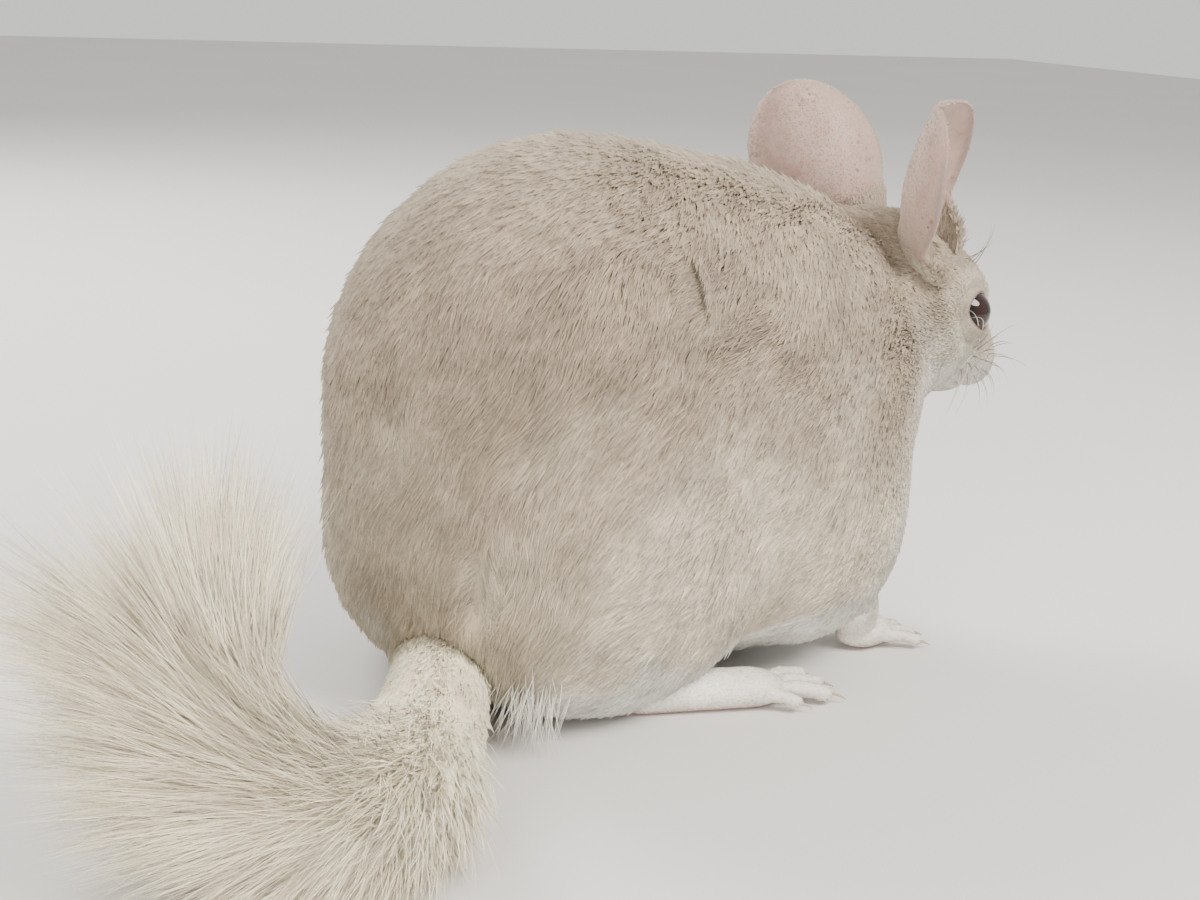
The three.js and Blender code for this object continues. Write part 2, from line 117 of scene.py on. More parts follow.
def ripple(points, wavelength, seed):
    """Soft uneven waves over space, mostly between -1 and 1."""
    rng = np.random.default_rng(seed)
    total = np.zeros(len(points))
    for _ in range(9):
        wave = unit(rng.normal(size=3)) * (2 * math.pi / (wavelength * rng.uniform(0.7, 1.5)))
        total += np.cos(points @ wave + rng.uniform(0, 2 * math.pi))
    return total / 3.2


# Turns and a factor that scatter neighbouring cells' centres as if at random
CELL_MIXER = np.array(((127.1, 269.5, 113.5), (311.7, 183.3, 271.9), (74.7, 246.1, 124.6)))
CELL_SCATTER = 43758.5453


def clump_centres(points, size, seed):
    """The nearest of many scattered centres, and a number from 0 to 1 that a whole clump shares."""
    cell = np.floor(points / size)
    nearest = np.full(len(points), 1e9)
    centres = np.zeros_like(points)
    marks = np.zeros(len(points))
    for dx in (-1, 0, 1):
        for dy in (-1, 0, 1):
            for dz in (-1, 0, 1):
                corner = cell + (dx, dy, dz)
                jitter = np.modf(np.sin(corner @ CELL_MIXER + seed) * CELL_SCATTER)[0] % 1.0
                centre = (corner + jitter) * size
                away = np.linalg.norm(points - centre, axis=1)
                closer = away < nearest
                nearest[closer] = away[closer]
                centres[closer] = centre[closer]
                marks[closer] = jitter[closer, 0]
    return centres, marks


def smooth_line(points, shares):
    """A soft curve through points, at shares of it from 0 to 1, with its directions."""
    points = np.asarray(points, float)
    before = 2 * points[:1] - points[1:2]
    after = 2 * points[-1:] - points[-2:-1]
    knots = np.vstack((before, points, after))

    def at(share):
        place = np.clip(share, 0, 1) * (len(points) - 1)
        span = np.minimum(np.floor(place).astype(int), len(points) - 2)
        t = (place - span)[:, None]
        p0, p1, p2, p3 = (knots[span + i] for i in range(4))
        d0, d1, d2 = (
            np.maximum(np.linalg.norm(b - a, axis=1, keepdims=True) ** 0.5, 1e-4)
            for a, b in ((p0, p1), (p1, p2), (p2, p3))
        )
        m1 = ((p1 - p0) / d0 - (p2 - p0) / (d0 + d1) + (p2 - p1) / d1) * d1
        m2 = ((p2 - p1) / d1 - (p3 - p1) / (d1 + d2) + (p3 - p2) / d2) * d1
        return p1 + m1 * t + (-3 * p1 + 3 * p2 - 2 * m1 - m2) * t**2 + (2 * p1 - 2 * p2 + m1 + m2) * t**3

    shares = np.asarray(shares, float)
    ahead, behind = np.clip(shares + 1e-3, 0, 1), np.clip(shares - 1e-3, 0, 1)
    return at(shares), unit(at(ahead) - at(behind))


# The flesh


def on_body(x, y, z):
    return np.array((x * BODY_WIDTH, y * BODY_LENGTH, z * BODY_HEIGHT))


def in_head(x, y, z):
    return np.array((x, y, z)) * HEAD_LENGTH


HEAD_PITCH = math.radians(20)
HEAD_TURN = np.array(
    (
        (1, 0, 0),
        (0, math.cos(HEAD_PITCH), -math.sin(HEAD_PITCH)),
        (0, math.sin(HEAD_PITCH), math.cos(HEAD_PITCH)),
    )
)
HEAD_PLACE = on_body(0, -0.472, 0.672)


def from_head(points):
    return np.asarray(points) @ HEAD_TURN.T + HEAD_PLACE


def into_head(points):
    return (points - HEAD_PLACE) @ HEAD_TURN


def mirrored(place, centre, radii, blend):
    x, y, z = centre
    return [(place(side * x, y, z), place(*radii), blend) for side in (1, -1)]


TRUNK_MASSES = [
    (on_body(0, 0.027, 0.535), on_body(0.492, 0.311, 0.465), 6),  # back and rump
    (on_body(0, 0.12, 0.24), on_body(0.38, 0.2, 0.235), 26),  # seat
    (on_body(0, -0.03, 0.285), on_body(0.45, 0.27, 0.302), 20),  # belly
    (on_body(0, -0.22, 0.43), on_body(0.385, 0.19, 0.38), 24),  # chest
    (on_body(0, -0.185, 0.615), on_body(0.375, 0.205, 0.305), 26),  # shoulders
    *mirrored(on_body, (0.3, 0.07, 0.285), (0.22, 0.2, 0.285), 12),  # haunches
    *mirrored(on_body, (0.25, -0.27, 0.285), (0.15, 0.115, 0.205), 22),  # upper arms
    (on_body(0, -0.345, 0.575), on_body(0.265, 0.15, 0.25), 24),  # neck and throat
]
HEAD_MASSES = [
    (in_head(0, 0.04, 0.015), in_head(0.325, 0.38, 0.31), 12),  # skull
    *mirrored(in_head, (0.17, -0.02, -0.12), (0.175, 0.25, 0.2), 9),  # cheeks
    (in_head(0, -0.285, -0.06), in_head(0.19, 0.235, 0.195), 12),  # muzzle
    *mirrored(in_head, (0.088, -0.4, -0.115), (0.105, 0.12, 0.115), 4),  # whisker pads
    (in_head(0, -0.31, -0.2), in_head(0.11, 0.15, 0.09), 5),  # chin
    (in_head(0, -0.505, -0.04), in_head(0.062, 0.035, 0.045), 3),  # nose
    *mirrored(in_head, (0.185, -0.12, 0.115), (0.1, 0.15, 0.085), 8),  # brows
]


def flesh(points):
    """Roughly how far points are outside the body with its coat, or inside it where negative."""
    local = into_head(points)
    nearest = np.full(len(points), 1e3)
    for here, masses in ((points, TRUNK_MASSES), (local, HEAD_MASSES)):
        for centre, radii, blend in masses:
            p = (here - centre) / radii
            scaled = np.sqrt(np.einsum("ij,ij->i", p, p))
            p /= radii
            distance = scaled * (scaled - 1) / np.maximum(np.sqrt(np.einsum("ij,ij->i", p, p)), 1e-9)
            overlap = np.maximum(blend - np.abs(nearest - distance), 0) / blend
            nearest = np.minimum(nearest, distance) - overlap * overlap * blend / 4
    return nearest


def coat_depth(points):
    """How thick the coat is, from the bare nose to the deep fur of the trunk."""
    back = into_head(points)[:, 1]
    return 0.35 + 0.75 * smoothstep(back, -38, -14) + 2.1 * smoothstep(back, -10, 34)


def outward(points, step=0.25):
    """The directions that leave the flesh."""
    slopes = [flesh(points + move) - flesh(points - move) for move in np.eye(3) * step]
    return unit(np.stack(slopes, 1))


BODY_AXIS = [
    on_body(0, 0.135, 0.42),
    on_body(0, 0.01, 0.47),
    on_body(0, -0.12, 0.515),
    on_body(0, -0.225, 0.565),
    on_body(0, -0.31, 0.615),
    on_body(0, -0.385, 0.65),
    from_head(in_head(0, 0.02, -0.01)),
    from_head(in_head(0, -0.11, -0.01)),
    from_head(in_head(0, -0.23, -0.03)),
    from_head(in_head(0, -0.33, -0.05)),
    from_head(in_head(0, -0.42, -0.07)),
]
REAR_RINGS, MIDDLE_RINGS, FRONT_RINGS, BODY_SLICES = 34, 160, 34, 192

NOSTRILS = [from_head(in_head(side * 0.029, -0.54, -0.048)) for side in (1, -1)]
LIPS = [
    from_head(in_head(x, y, z))
    for x, y, z in (
        (-0.12, -0.37, -0.215),
        (-0.065, -0.47, -0.2),
        (0, -0.51, -0.165),
        (0.065, -0.47, -0.2),
        (0.12, -0.37, -0.215),
    )
]
CLEFT = [from_head(in_head(0, -0.545, -0.085)), from_head(in_head(0, -0.505, -0.175))]


def away_from_line(points, line):
    """How far points are from a line of points."""
    line = np.asarray(line)
    nearest = np.full(len(points), 1e9)
    for a, b in zip(line[:-1], line[1:]):
        span = b - a
        share = np.clip((points - a) @ span / (span @ span), 0, 1)
        nearest = np.minimum(nearest, np.linalg.norm(points - a - share[:, None] * span, axis=1))
    return nearest


def laid_on_skin(points):
    for _ in range(8):
        points = points - outward(points) * (flesh(points) + coat_depth(points))[:, None]
    return points


@lru_cache(maxsize=None)
def lip_line():
    return laid_on_skin(smooth_line(LIPS, np.linspace(0, 1, 25))[0])


@lru_cache(maxsize=None)
def cleft_line():
    return laid_on_skin(lerp(CLEFT[0], CLEFT[1], np.linspace(0, 1, 9)[:, None]))


def face_openings(points):
    """How deep the nostrils, the lips and the cleft are pressed in."""
    front = smoothstep(-into_head(points)[:, 1], 22, 30)
    depth = 1.1 * np.exp(-((away_from_line(points, lip_line()) / 0.5) ** 2))
    depth += 0.9 * np.exp(-((away_from_line(points, cleft_line()) / 0.38) ** 2))
    for side, centre in zip((1, -1), NOSTRILS):
        offset = (points - centre) @ HEAD_TURN
        slanted = offset[:, 0] * side - 0.55 * offset[:, 2] - 0.35 * offset[:, 2] ** 2
        away = (slanted / 0.42) ** 2 + offset[:, 2] ** 2 + (offset[:, 1] / 3) ** 2
        depth += 1.6 * np.exp(-away)
    return depth * front


def cheek_folds(points):
    """Low folds between the whisker pads and the cheeks."""
    local = into_head(points)
    return 0.35 * np.exp(-(((local[:, 1] + 22) / 2.2) ** 2)) * smoothstep(-local[:, 2], 2, 12)


@lru_cache(maxsize=None)
def body_skin():
    """Rings of points round the body, with their normals; each is found by a ray from the body's axis."""
    rings = np.arange(REAR_RINGS + MIDDLE_RINGS + FRONT_RINGS + 1, dtype=float)
    rear = np.clip(1 - rings / REAR_RINGS, 0, 1)
    front = np.clip((rings - REAR_RINGS - MIDDLE_RINGS) / FRONT_RINGS, 0, 1)
    share = np.clip((rings - REAR_RINGS) / MIDDLE_RINGS, 0, 1)
    centres = smooth_line(BODY_AXIS, share)[0]
    rise = np.radians(lerp(14, -12, share))
    forward = np.stack((0 * rise, -np.cos(rise), np.sin(rise)), 1)
    up = np.stack((0 * rise, np.sin(rise), np.cos(rise)), 1)
    tilt = (front - rear) * math.pi / 2
    turn = np.arange(BODY_SLICES) / BODY_SLICES * 2 * math.pi
    flat = (
        np.cos(turn)[None, :, None] * np.array((1.0, 0, 0))
        + np.sin(turn)[None, :, None] * up[:, None]
    )
    rays = flat * np.cos(tilt)[:, None, None] + (forward * np.sin(tilt)[:, None])[:, None]
    rays = rays.reshape(-1, 3)
    starts = np.repeat(centres, BODY_SLICES, 0)

    def outside(which, reach):
        points = starts[which] + rays[which] * reach[:, None]
        return flesh(points) + coat_depth(points) > 0

    reach = np.zeros(len(rays))
    going = np.arange(len(rays))
    while len(going):
        reach[going] += 2
        going = going[~outside(going, reach[going])]
    low, high = reach - 2, reach.copy()
    everything = np.arange(len(rays))
    for _ in range(10):
        middle = (low + high) / 2
        out = outside(everything, middle)
        high = np.where(out, middle, high)
        low = np.where(out, low, middle)
    points = starts + rays * low[:, None]
    normals = outward(points)
    points = points - normals * (face_openings(points) + cheek_folds(points))[:, None]
    points[:, 2] = np.maximum(points[:, 2], 1.2)
    shape = (len(rings), BODY_SLICES, 3)
    return points.reshape(shape), normals.reshape(shape)


def inside_body(points, margin=1.0):
    return flesh(points) + coat_depth(points) < -margin


# The tail

TAIL_PATH = [
    (8, 28, 22),
    (-6, 44, 16),
    (-32, 60, 14),
    (-58, 77, 13.5),
    (-79, 94, 14),
    (-89, 112, 16.5),
    (-84, 127, 25),
    (-74, 134, 38),
]
TAIL_ACROSS = np.array((0.5, 0.86, 0.0))
TAIL_RINGS, TAIL_SLICES = 150, 56
BRUSH_START = 0.54  # share of the tail where the long hair begins


def tail_frame(shares):
    centres, forward = smooth_line(TAIL_PATH, shares)
    side = across_surface(np.broadcast_to(TAIL_ACROSS, forward.shape), forward)
    up = np.cross(side, forward)
    return centres, forward, side, up


def tail_radius(shares):
    body = lerp(11.2, 10.6, np.clip(shares / BRUSH_START, 0, 1))
    tip = smoothstep(shares, BRUSH_START, 1.0)
    return lerp(body, 4.4, tip)


@lru_cache(maxsize=None)
def tail_skin():
    shares = 1 - (1 - np.arange(TAIL_RINGS + 1) / TAIL_RINGS) ** 1.15
    centres, _, side, up = tail_frame(shares)
    end = np.sqrt(np.clip((1 - shares) / 0.035, 0, 1)) * np.sqrt(np.clip(shares / 0.03, 0, 1))
    radius = tail_radius(shares) * end
    turn = np.arange(TAIL_SLICES) / TAIL_SLICES * 2 * math.pi
    normals = (
        np.cos(turn)[None, :, None] * side[:, None] + np.sin(turn)[None, :, None] * up[:, None]
    )
    points = centres[:, None] + normals * radius[:, None, None]
    points[..., 2] = np.maximum(points[..., 2], 1.0)
    return points, normals


# The limbs


def rod(line, width_at, height_at, across=None, slices=18, rings=22):
    """A closed rounded rod along points, as vertices and triangles."""
    shares = np.linspace(0, 1, rings + 1)
    centres, forward = smooth_line(line, shares)
    across = np.array((1.0, 0, 0)) if across is None else np.asarray(across, float)
    side = across_surface(np.broadcast_to(across, forward.shape), forward)
    up = np.cross(side, forward)
    turn = np.arange(slices) / slices * 2 * math.pi
    points = (
        centres[:, None]
        + side[:, None] * (width_at(shares)[:, None] * np.cos(turn))[..., None]
        + up[:, None] * (height_at(shares)[:, None] * np.sin(turn))[..., None]
    )
    return closed_rings(points)


def closed_rings(points):
    """Vertices and triangles of rings of points whose first and last ring are single points."""
    rings, slices = points.shape[:2]
    inner = points[1:-1].reshape(-1, 3)
    vertices = np.vstack((points[:1, 0], inner, points[-1:, 0]))
    i = np.arange(slices)
    j = (i + 1) % slices
    faces = [np.stack((np.zeros(slices, int), 1 + j, 1 + i), 1)]
    for ring in range(rings - 3):
        low, high = 1 + ring * slices, 1 + (ring + 1) * slices
        faces.append(np.stack((low + i, low + j, high + j), 1))
        faces.append(np.stack((low + i, high + j, high + i), 1))
    last = 1 + (rings - 3) * slices
    faces.append(np.stack((last + i, last + j, np.full(slices, len(vertices) - 1)), 1))
    return vertices, facing_outwards(vertices, np.vstack(faces))


def facing_outwards(vertices, faces):
    a, b, c = (vertices[faces[:, i]] for i in range(3))
    volume = np.sum(np.cross(a, b) * c)
    return faces if volume > 0 else faces[:, ::-1].copy()


def ball(centre, radii, slices=28, rings=20):
    turn = np.arange(slices) / slices * 2 * math.pi
    tilt = np.linspace(0, math.pi, rings + 1)
    points = np.stack(
        (
            np.sin(tilt)[:, None] * np.cos(turn),
            np.sin(tilt)[:, None] * np.sin(turn),
            np.broadcast_to(np.cos(tilt)[:, None], (rings + 1, slices)),
        ),
        -1,
    )
    return closed_rings(points * radii + centre)


def joined(parts):
    """Several (vertices, triangles) as one."""
    vertices, faces, count = [], [], 0
    for v, f in parts:
        vertices.append(v)
        faces.append(f + count)
        count += len(v)
    return np.vstack(vertices), np.vstack(faces)


def digit(root, tip, radius, arch):
    middle = (root + tip) / 2 + (0, 0, arch)
    line = [(1 - t) ** 2 * root + 2 * t * (1 - t) * middle + t * t * tip for t in np.linspace(0, 1, 7)]
    across = np.cross(tip - root, (0, 0, 1))

    def knuckles(t):
        return 1 + 0.10 * np.exp(-(((t - 0.42) / 0.1) ** 2)) + 0.16 * np.exp(-(((t - 0.86) / 0.1) ** 2))

    return rod(
        line,
        lambda t: domed(t, radius, radius * 0.85, 0.12) * knuckles(t),
        lambda t: domed(t, radius, radius * 0.8, 0.12) * knuckles(t),
        across,
        14,
        20,
    )


def fingers(side):
    """Root and tip of each finger of a forepaw."""
    palm = on_body(side * 0.205, -0.383, 0)
    palm[2] = 4.6
    found = []
    for spread in np.linspace(-1, 1, 4):
        reach = FOREPAW_LENGTH * (0.62 - 0.1 * spread * spread)
        turn = math.radians(30 * spread - side * 4)
        root = palm + (4.4 * spread, -FOREPAW_LENGTH * 0.16, -1.4)
        tip = root + (reach * math.sin(turn), -reach * math.cos(turn), 0)
        tip[2] = 1.7
        found.append((root, tip, 2.1))
    return palm, found


def toes(side):
    """The heel and ball of a hind foot, and root, tip and radius of each toe."""
    heel = on_body(side * 0.315, 0.03, 0)
    ball_of_foot = on_body(side * 0.395, -0.135, 0)
    heel[2], ball_of_foot[2] = 5.0, 4.4
    forward = (ball_of_foot - heel) * (1, 1, 0)
    forward /= np.linalg.norm(forward)
    across = np.array((forward[1], -forward[0], 0))
    found = []
    spreads = (-0.95, -0.3, 0.35, 0.95)
    for i, spread in enumerate(spreads):
        outermost = i == (0 if side > 0 else len(spreads) - 1)
        reach = HIND_FOOT_LENGTH * (0.2 if outermost else 0.33 - 0.05 * abs(spread))
        turn = math.radians(-22 * spread)
        aim = np.array(
            (
                forward[0] * math.cos(turn) - forward[1] * math.sin(turn),
                forward[0] * math.sin(turn) + forward[1] * math.cos(turn),
                0,
            )
        )
        root = ball_of_foot + across * 5.2 * spread + forward * (-2 if outermost else 2)
        root[2] = 3.2
        tip = root + aim * reach
        tip[2] = 2
        found.append((root, tip, 2.2 if outermost else 2.7))
    return heel, ball_of_foot, forward, across, found


def foreleg_parts(side):
    palm, found = fingers(side)
    line = [
        on_body(side * 0.234, -0.288, 0.262),
        on_body(side * 0.215, -0.345, 0.13),
        on_body(side * 0.205, -0.372, 0.03),
    ]

    def girth(t):
        return domed(t, 1, 1, 0.14) * (6.3 + 6.5 * (1 - t) ** 1.8)

    parts = [rod(line, girth, girth, slices=32, rings=36), ball(palm, np.array((6.6, 9.2, 4.8)))]
    parts += [digit(root, tip, radius - 0.3, 2.6) for root, tip, radius in found]
    return joined(parts), line[0], palm


def hind_foot_parts(side):
    heel, ball_of_foot, forward, across, found = toes(side)
    sole = rod(
        [heel - 5 * forward, (heel + ball_of_foot) / 2, ball_of_foot + 7 * forward],
        lambda t: domed(t, 6.2, 7.9, 0.2),
        lambda t: domed(t, 6.0, 4.8, 0.2),
        across,
        32,
        36,
    )
    # the hock rises from the heel into the haunch
    shank = rod(
        [heel + (0, 0, 1), heel + forward * 9 + (0, 0, 13), heel + forward * 14 + (0, 0, 26)],
        lambda t: domed(t, 6.2, 9.0, 0.2),
        lambda t: domed(t, 6.2, 9.0, 0.2),
        across,
        24,
        20,
    )
    parts = [sole, shank] + [digit(root, tip, radius - 0.3, 3.2) for root, tip, radius in found]
    return joined(parts), heel, ball_of_foot


def fused(parts, voxel):
    """One smooth closed surface round several overlapping ones."""
    vertices, faces = parts
    mesh = bpy.data.meshes.new("limb")
    mesh.from_pydata((vertices * MM).tolist(), [], faces.tolist())
    limb = bpy.data.objects.new("limb", mesh)
    bpy.context.scene.collection.objects.link(limb)
    remesh = limb.modifiers.new("Fuse", "REMESH")
    remesh.mode = "VOXEL"
    remesh.voxel_size = voxel * MM
    soften = limb.modifiers.new("Soften", "SMOOTH")
    soften.factor = 0.5
    soften.iterations = 4
    done = bpy.data.meshes.new_from_object(limb.evaluated_get(bpy.context.evaluated_depsgraph_get()))
    done.calc_loop_triangles()
    points = np.zeros(len(done.vertices) * 3)
    done.vertices.foreach_get("co", points)
    triangles = np.zeros(len(done.loop_triangles) * 3, np.int32)
    done.loop_triangles.foreach_get("vertices", triangles)
    bpy.data.objects.remove(limb)
    bpy.data.meshes.remove(done)
    points = points.reshape(-1, 3) / MM
    points[:, 2] = np.maximum(points[:, 2], 0.5)
    return points, triangles.reshape(-1, 3)


@lru_cache(maxsize=None)
def limbs():
    """Each limb's vertices, triangles and the axis that its hair and its layout follow."""
    voxel = 0.7
    found = {}
    for side, word in ((1, "left"), (-1, "right")):
        parts, start, end = foreleg_parts(side)
        found[f"foreleg_{word}"] = (*fused(parts, voxel), start, end + (0, -20, -3))
        parts, start, end = hind_foot_parts(side)
        found[f"hind_foot_{word}"] = (*fused(parts, voxel), start, end + (end - start) * 0.6)
    return found


def limb_layout(name, points, start, end):
    """Where points of a limb lie in the skin's flat layout: round the limb, and along it."""
    axis = unit(end - start)
    side = across_surface(np.array((1.0, 0.2, 0)), axis)
    up = np.cross(side, axis)
    offset = points - start
    turn = np.arctan2(offset @ up, offset @ side) / (2 * math.pi) + 0.5
    along = np.clip((offset @ axis) / np.linalg.norm(end - start) * 0.8 + 0.1, 0, 1)
    return placed_in_layout(name, np.stack((turn, along), 1))


def placed_in_layout(name, uv):
    left, bottom, width, height = LAYOUT[name]
    return uv * (width, height) + (left, bottom)


# Eyes and ears

EYE_RADIUS = 7.8


def eye_centre(side):
    return from_head(in_head(side * 0.256, -0.15, 0.03))


def gaze(side):
    return unit(np.array((side * 0.86, -0.46, 0.18)))


EAR_LENGTH, EAR_WIDTH, EAR_WALL = 48.0, 39.0, 1.5
EAR_RINGS, EAR_COLUMNS = 84, 80  # columns on each of its two faces


def ear_frame(side):
    base = from_head(in_head(side * 0.235, 0.13, 0.2))
    rise = unit(np.array((side * 0.42, 0.3, 0.86)))
    across = across_surface(np.array((side * 0.62, 0.78, -0.3)), rise)
    facing = unit(np.cross(across, rise) * side)
    return base, rise, across, facing


@lru_cache(maxsize=None)
def ear_shape(side):
    """Rings of points up an ear: round its outer face and back along its inner one."""
    base, rise, across, facing = ear_frame(side)
    share = np.arange(EAR_RINGS + 1) / EAR_RINGS
    v = 1 - (1 - share) ** 1.6
    half = np.radians(lerp(118, 62, smoothstep(v, 0.02, 0.32)))
    rounding = np.sqrt(np.clip(1 - ((v - 0.56) / 0.44) ** 2, 0, 1))
    petal = 0.4 + 0.6 * np.sin(math.pi / 2 * np.minimum(v / 0.56, 1)) ** 1.4
    width = EAR_WIDTH * np.where(v > 0.56, rounding, petal)
    width[0] = 0
    radius = width / 2 / np.sin(np.minimum(half, math.pi / 2))
    wall = np.minimum(EAR_WALL, width * 0.3) / 2
    t = np.linspace(-1, 1, EAR_COLUMNS)
    rim = np.sqrt(np.clip(1 - np.abs(t) ** 9, 0.02, 1))
    columns = []
    for outer in (True, False):
        along = t if outer else t[::-1]
        edge = rim if outer else rim[::-1]
        angle = half[:, None] * along
        swell = wall[:, None] * lerp(0.55, 1.15, edge)
        shell = np.maximum(radius[:, None] + (swell if outer else -swell), 0)
        if not outer:
            # soft upright ridges in the cup, which fade towards the rim
            ridge = 0.55 * np.exp(-(((along - 0.25) / 0.12) ** 2))
            ridge = ridge + 0.4 * np.exp(-(((along + 0.3) / 0.15) ** 2))
            height = np.sin(math.pi * np.clip(v, 0, 1)) ** 1.5 * (width > 8)
            shell = shell - ridge * height[:, None]
        backwards = EAR_LENGTH * 0.1 * np.sin(math.pi * v)[:, None]
        rolled = 0.9 * (np.abs(along) ** 6) * smoothstep(v, 0.3, 0.6)[:, None]
        columns.append(
            base
            + rise * (EAR_LENGTH * (1.18 * v - 0.18))[:, None, None]
            + across * (shell * np.sin(angle))[..., None]
            + facing * (radius[:, None] - shell * np.cos(angle) - backwards - 3 + rolled)[..., None]
        )
    return np.concatenate(columns, 1), v


# Colours of the coat

BACK_COLOUR = (0.36, 0.29, 0.213)
FLANK_COLOUR = (0.66, 0.57, 0.435)
BELLY_COLOUR = (0.86, 0.83, 0.75)
TAIL_COLOUR = (0.91, 0.80, 0.585)


def coat_colour(points, normals, settings):
    """The coat's colour at any place: taupe back, paler sides, white underneath, creamy tail."""
    back, flank = np.array(settings.back_colour), np.array(settings.flank_colour)
    belly, tail = np.array(settings.belly_colour), np.array(settings.tail_colour)
    local = into_head(points)
    uneven = 0.16 * ripple(points, 38, 5) + 0.08 * ripple(points, 14, 6)
    height = (points[:, 2] - 62) / 62
    upward = 0.55 * normals[:, 2] + 0.45 * height + uneven
    towards_side = smoothstep(-upward, -0.42, 0.25)
    under = smoothstep(-upward, 0.50, 0.78)
    # the hind end stays dark lower down than the flanks
    rear = smoothstep(points[:, 1], 15, 70)
    towards_side = towards_side * lerp(1.0, 0.75, rear)
    under = under * lerp(1.0, 0.65, rear)
    low = smoothstep(-points[:, 2], -25, -12) * (1 - 0.8 * smoothstep(points[:, 1], 30, 60))
    under = np.maximum(under, low)
    colour = lerp(back, flank, towards_side[:, None])
    colour = lerp(colour, belly, under[:, None])
    # the face: a darker bridge, pale lips, chin and throat
    face = smoothstep(-local[:, 1], -30, -5)
    below = smoothstep(-local[:, 2], -2, 15) * smoothstep(-local[:, 1], -22, 6)
    pale = np.clip(0.85 * below + 0.3 * smoothstep(-local[:, 1], 24, 36), 0, 1)
    colour = lerp(colour, lerp(flank, belly, 0.75), (pale * face)[:, None] * 0.9)
    for side in (1, -1):
        ring = np.exp(-(((np.linalg.norm(points - eye_centre(side), axis=1) - 10.5) / 3.2) ** 2))
        colour = lerp(colour, lerp(flank, belly, 0.35), 0.35 * (ring * face)[:, None])
    # the tail
    shares, centre = nearest_on_tail(points)
    near_tail = smoothstep(-np.linalg.norm(points - centre, axis=1), -24, -14)
    on_tail = near_tail * smoothstep(shares, 0.14, 0.27)
    top = smoothstep((points - centre)[:, 2], -2, 12) * (1 - smoothstep(shares, 0.75, 1.0))
    tail_tint = lerp(tail, lerp(back, flank, 0.6), (0.25 * top)[:, None])
    colour = lerp(colour, tail_tint, on_tail[:, None])
    return colour * (1 + 0.35 * uneven)[:, None]


@lru_cache(maxsize=None)
def tail_samples():
    shares = np.linspace(0, 1, 90)
    return shares, smooth_line(TAIL_PATH, shares)[0]


def nearest_on_tail(points):
    """The share along the tail that is nearest, and the point of the tail's axis there."""
    shares, line = tail_samples()
    found = np.zeros(len(points))
    centres = np.zeros_like(points)
    for start in range(0, len(points), 20000):
        part = points[start : start + 20000]
        which = np.argmin(((part[:, None] - line[None]) ** 2).sum(2), 1)
        found[start : start + 20000] = shares[which]
        centres[start : start + 20000] = line[which]
    return found, centres


# Meshes and materials


def solid_piece(name, points, faces, material, normals=None, colours=None, uv=None, values=None):
    """A mesh object from points in millimetres, with its colours, layout and soft normals."""
    mesh = bpy.data.meshes.new(name)
    faces = np.ascontiguousarray(faces, np.int32)
    mesh.vertices.add(len(points))
    mesh.vertices.foreach_set("co", (points * MM).astype(np.float32).ravel())
    mesh.loops.add(faces.size)
    mesh.loops.foreach_set("vertex_index", faces.ravel())
    mesh.polygons.add(len(faces))
    mesh.polygons.foreach_set("loop_start", np.arange(0, faces.size, 3, dtype=np.int32))
    mesh.polygons.foreach_set("use_smooth", np.ones(len(faces), bool))
    mesh.update(calc_edges=True)
    if colours is not None:
        layer = mesh.color_attributes.new("coat_colour", "FLOAT_COLOR", "POINT")
        rgba = np.ones((len(points), 4), np.float32)
        rgba[:, :3] = colours
        layer.data.foreach_set("color", rgba.ravel())
    for word, numbers in (values or {}).items():
        layer = mesh.attributes.new(word, "FLOAT", "POINT")
        layer.data.foreach_set("value", np.asarray(numbers, np.float32))
    if uv is not None:
        layer = mesh.uv_layers.new(name="OFBake")
        layer.data.foreach_set("uv", np.ascontiguousarray(uv, np.float32).ravel())
    if normals is not None:
        mesh.normals_split_custom_set(unit(normals).astype(np.float32).reshape(-1, 3))
    mesh.materials.append(material)
    piece = bpy.data.objects.new(name, mesh)
    bpy.context.scene.collection.objects.link(piece)
    return piece


def new_material(name):
    material = bpy.data.materials.new(name)
    material.use_nodes = True
    nodes = material.node_tree.nodes
    return material, nodes, material.node_tree.links, nodes["Principled BSDF"]


def set_inputs(shader, **values):
    for name, value in values.items():
        shader.inputs[name.replace("_", " ")].default_value = value


def noise(nodes, links, coordinates, scale, detail=3.0, roughness=0.55):
    texture = nodes.new("ShaderNodeTexNoise")
    texture.inputs["Scale"].default_value = scale
    texture.inputs["Detail"].default_value = detail
    texture.inputs["Roughness"].default_value = roughness
    links.new(coordinates, texture.inputs["Vector"])
    return texture.outputs["Fac"]


def ranged(nodes, links, value, low, high, to_low, to_high):
    ranger = nodes.new("ShaderNodeMapRange")
    for socket, number in zip(("From Min", "From Max", "To Min", "To Max"), (low, high, to_low, to_high)):
        ranger.inputs[socket].default_value = number
    links.new(value, ranger.inputs["Value"])
    return ranger.outputs["Result"]


def scaled_colour(nodes, links, colour, factor):
    scale = nodes.new("ShaderNodeVectorMath")
    scale.operation = "SCALE"
    links.new(colour, scale.inputs[0])
    links.new(factor, scale.inputs["Scale"])
    return scale.outputs["Vector"]


def mixed_colour(nodes, links, first, second, factor):
    mix = nodes.new("ShaderNodeMix")
    mix.data_type = "RGBA"
    for socket, value in ((mix.inputs[6], first), (mix.inputs[7], second), (mix.inputs[0], factor)):
        if isinstance(value, bpy.types.NodeSocket):
            links.new(value, socket)
        else:
            socket.default_value = (*value, 1.0) if hasattr(value, "__len__") else value
    return mix.outputs[2]


def add_bump(nodes, links, shader, height, strength, distance):
    bump = nodes.new("ShaderNodeBump")
    bump.inputs["Strength"].default_value = strength
    bump.inputs["Distance"].default_value = distance
    links.new(height, bump.inputs["Height"])
    links.new(bump.outputs["Normal"], shader.inputs["Normal"])


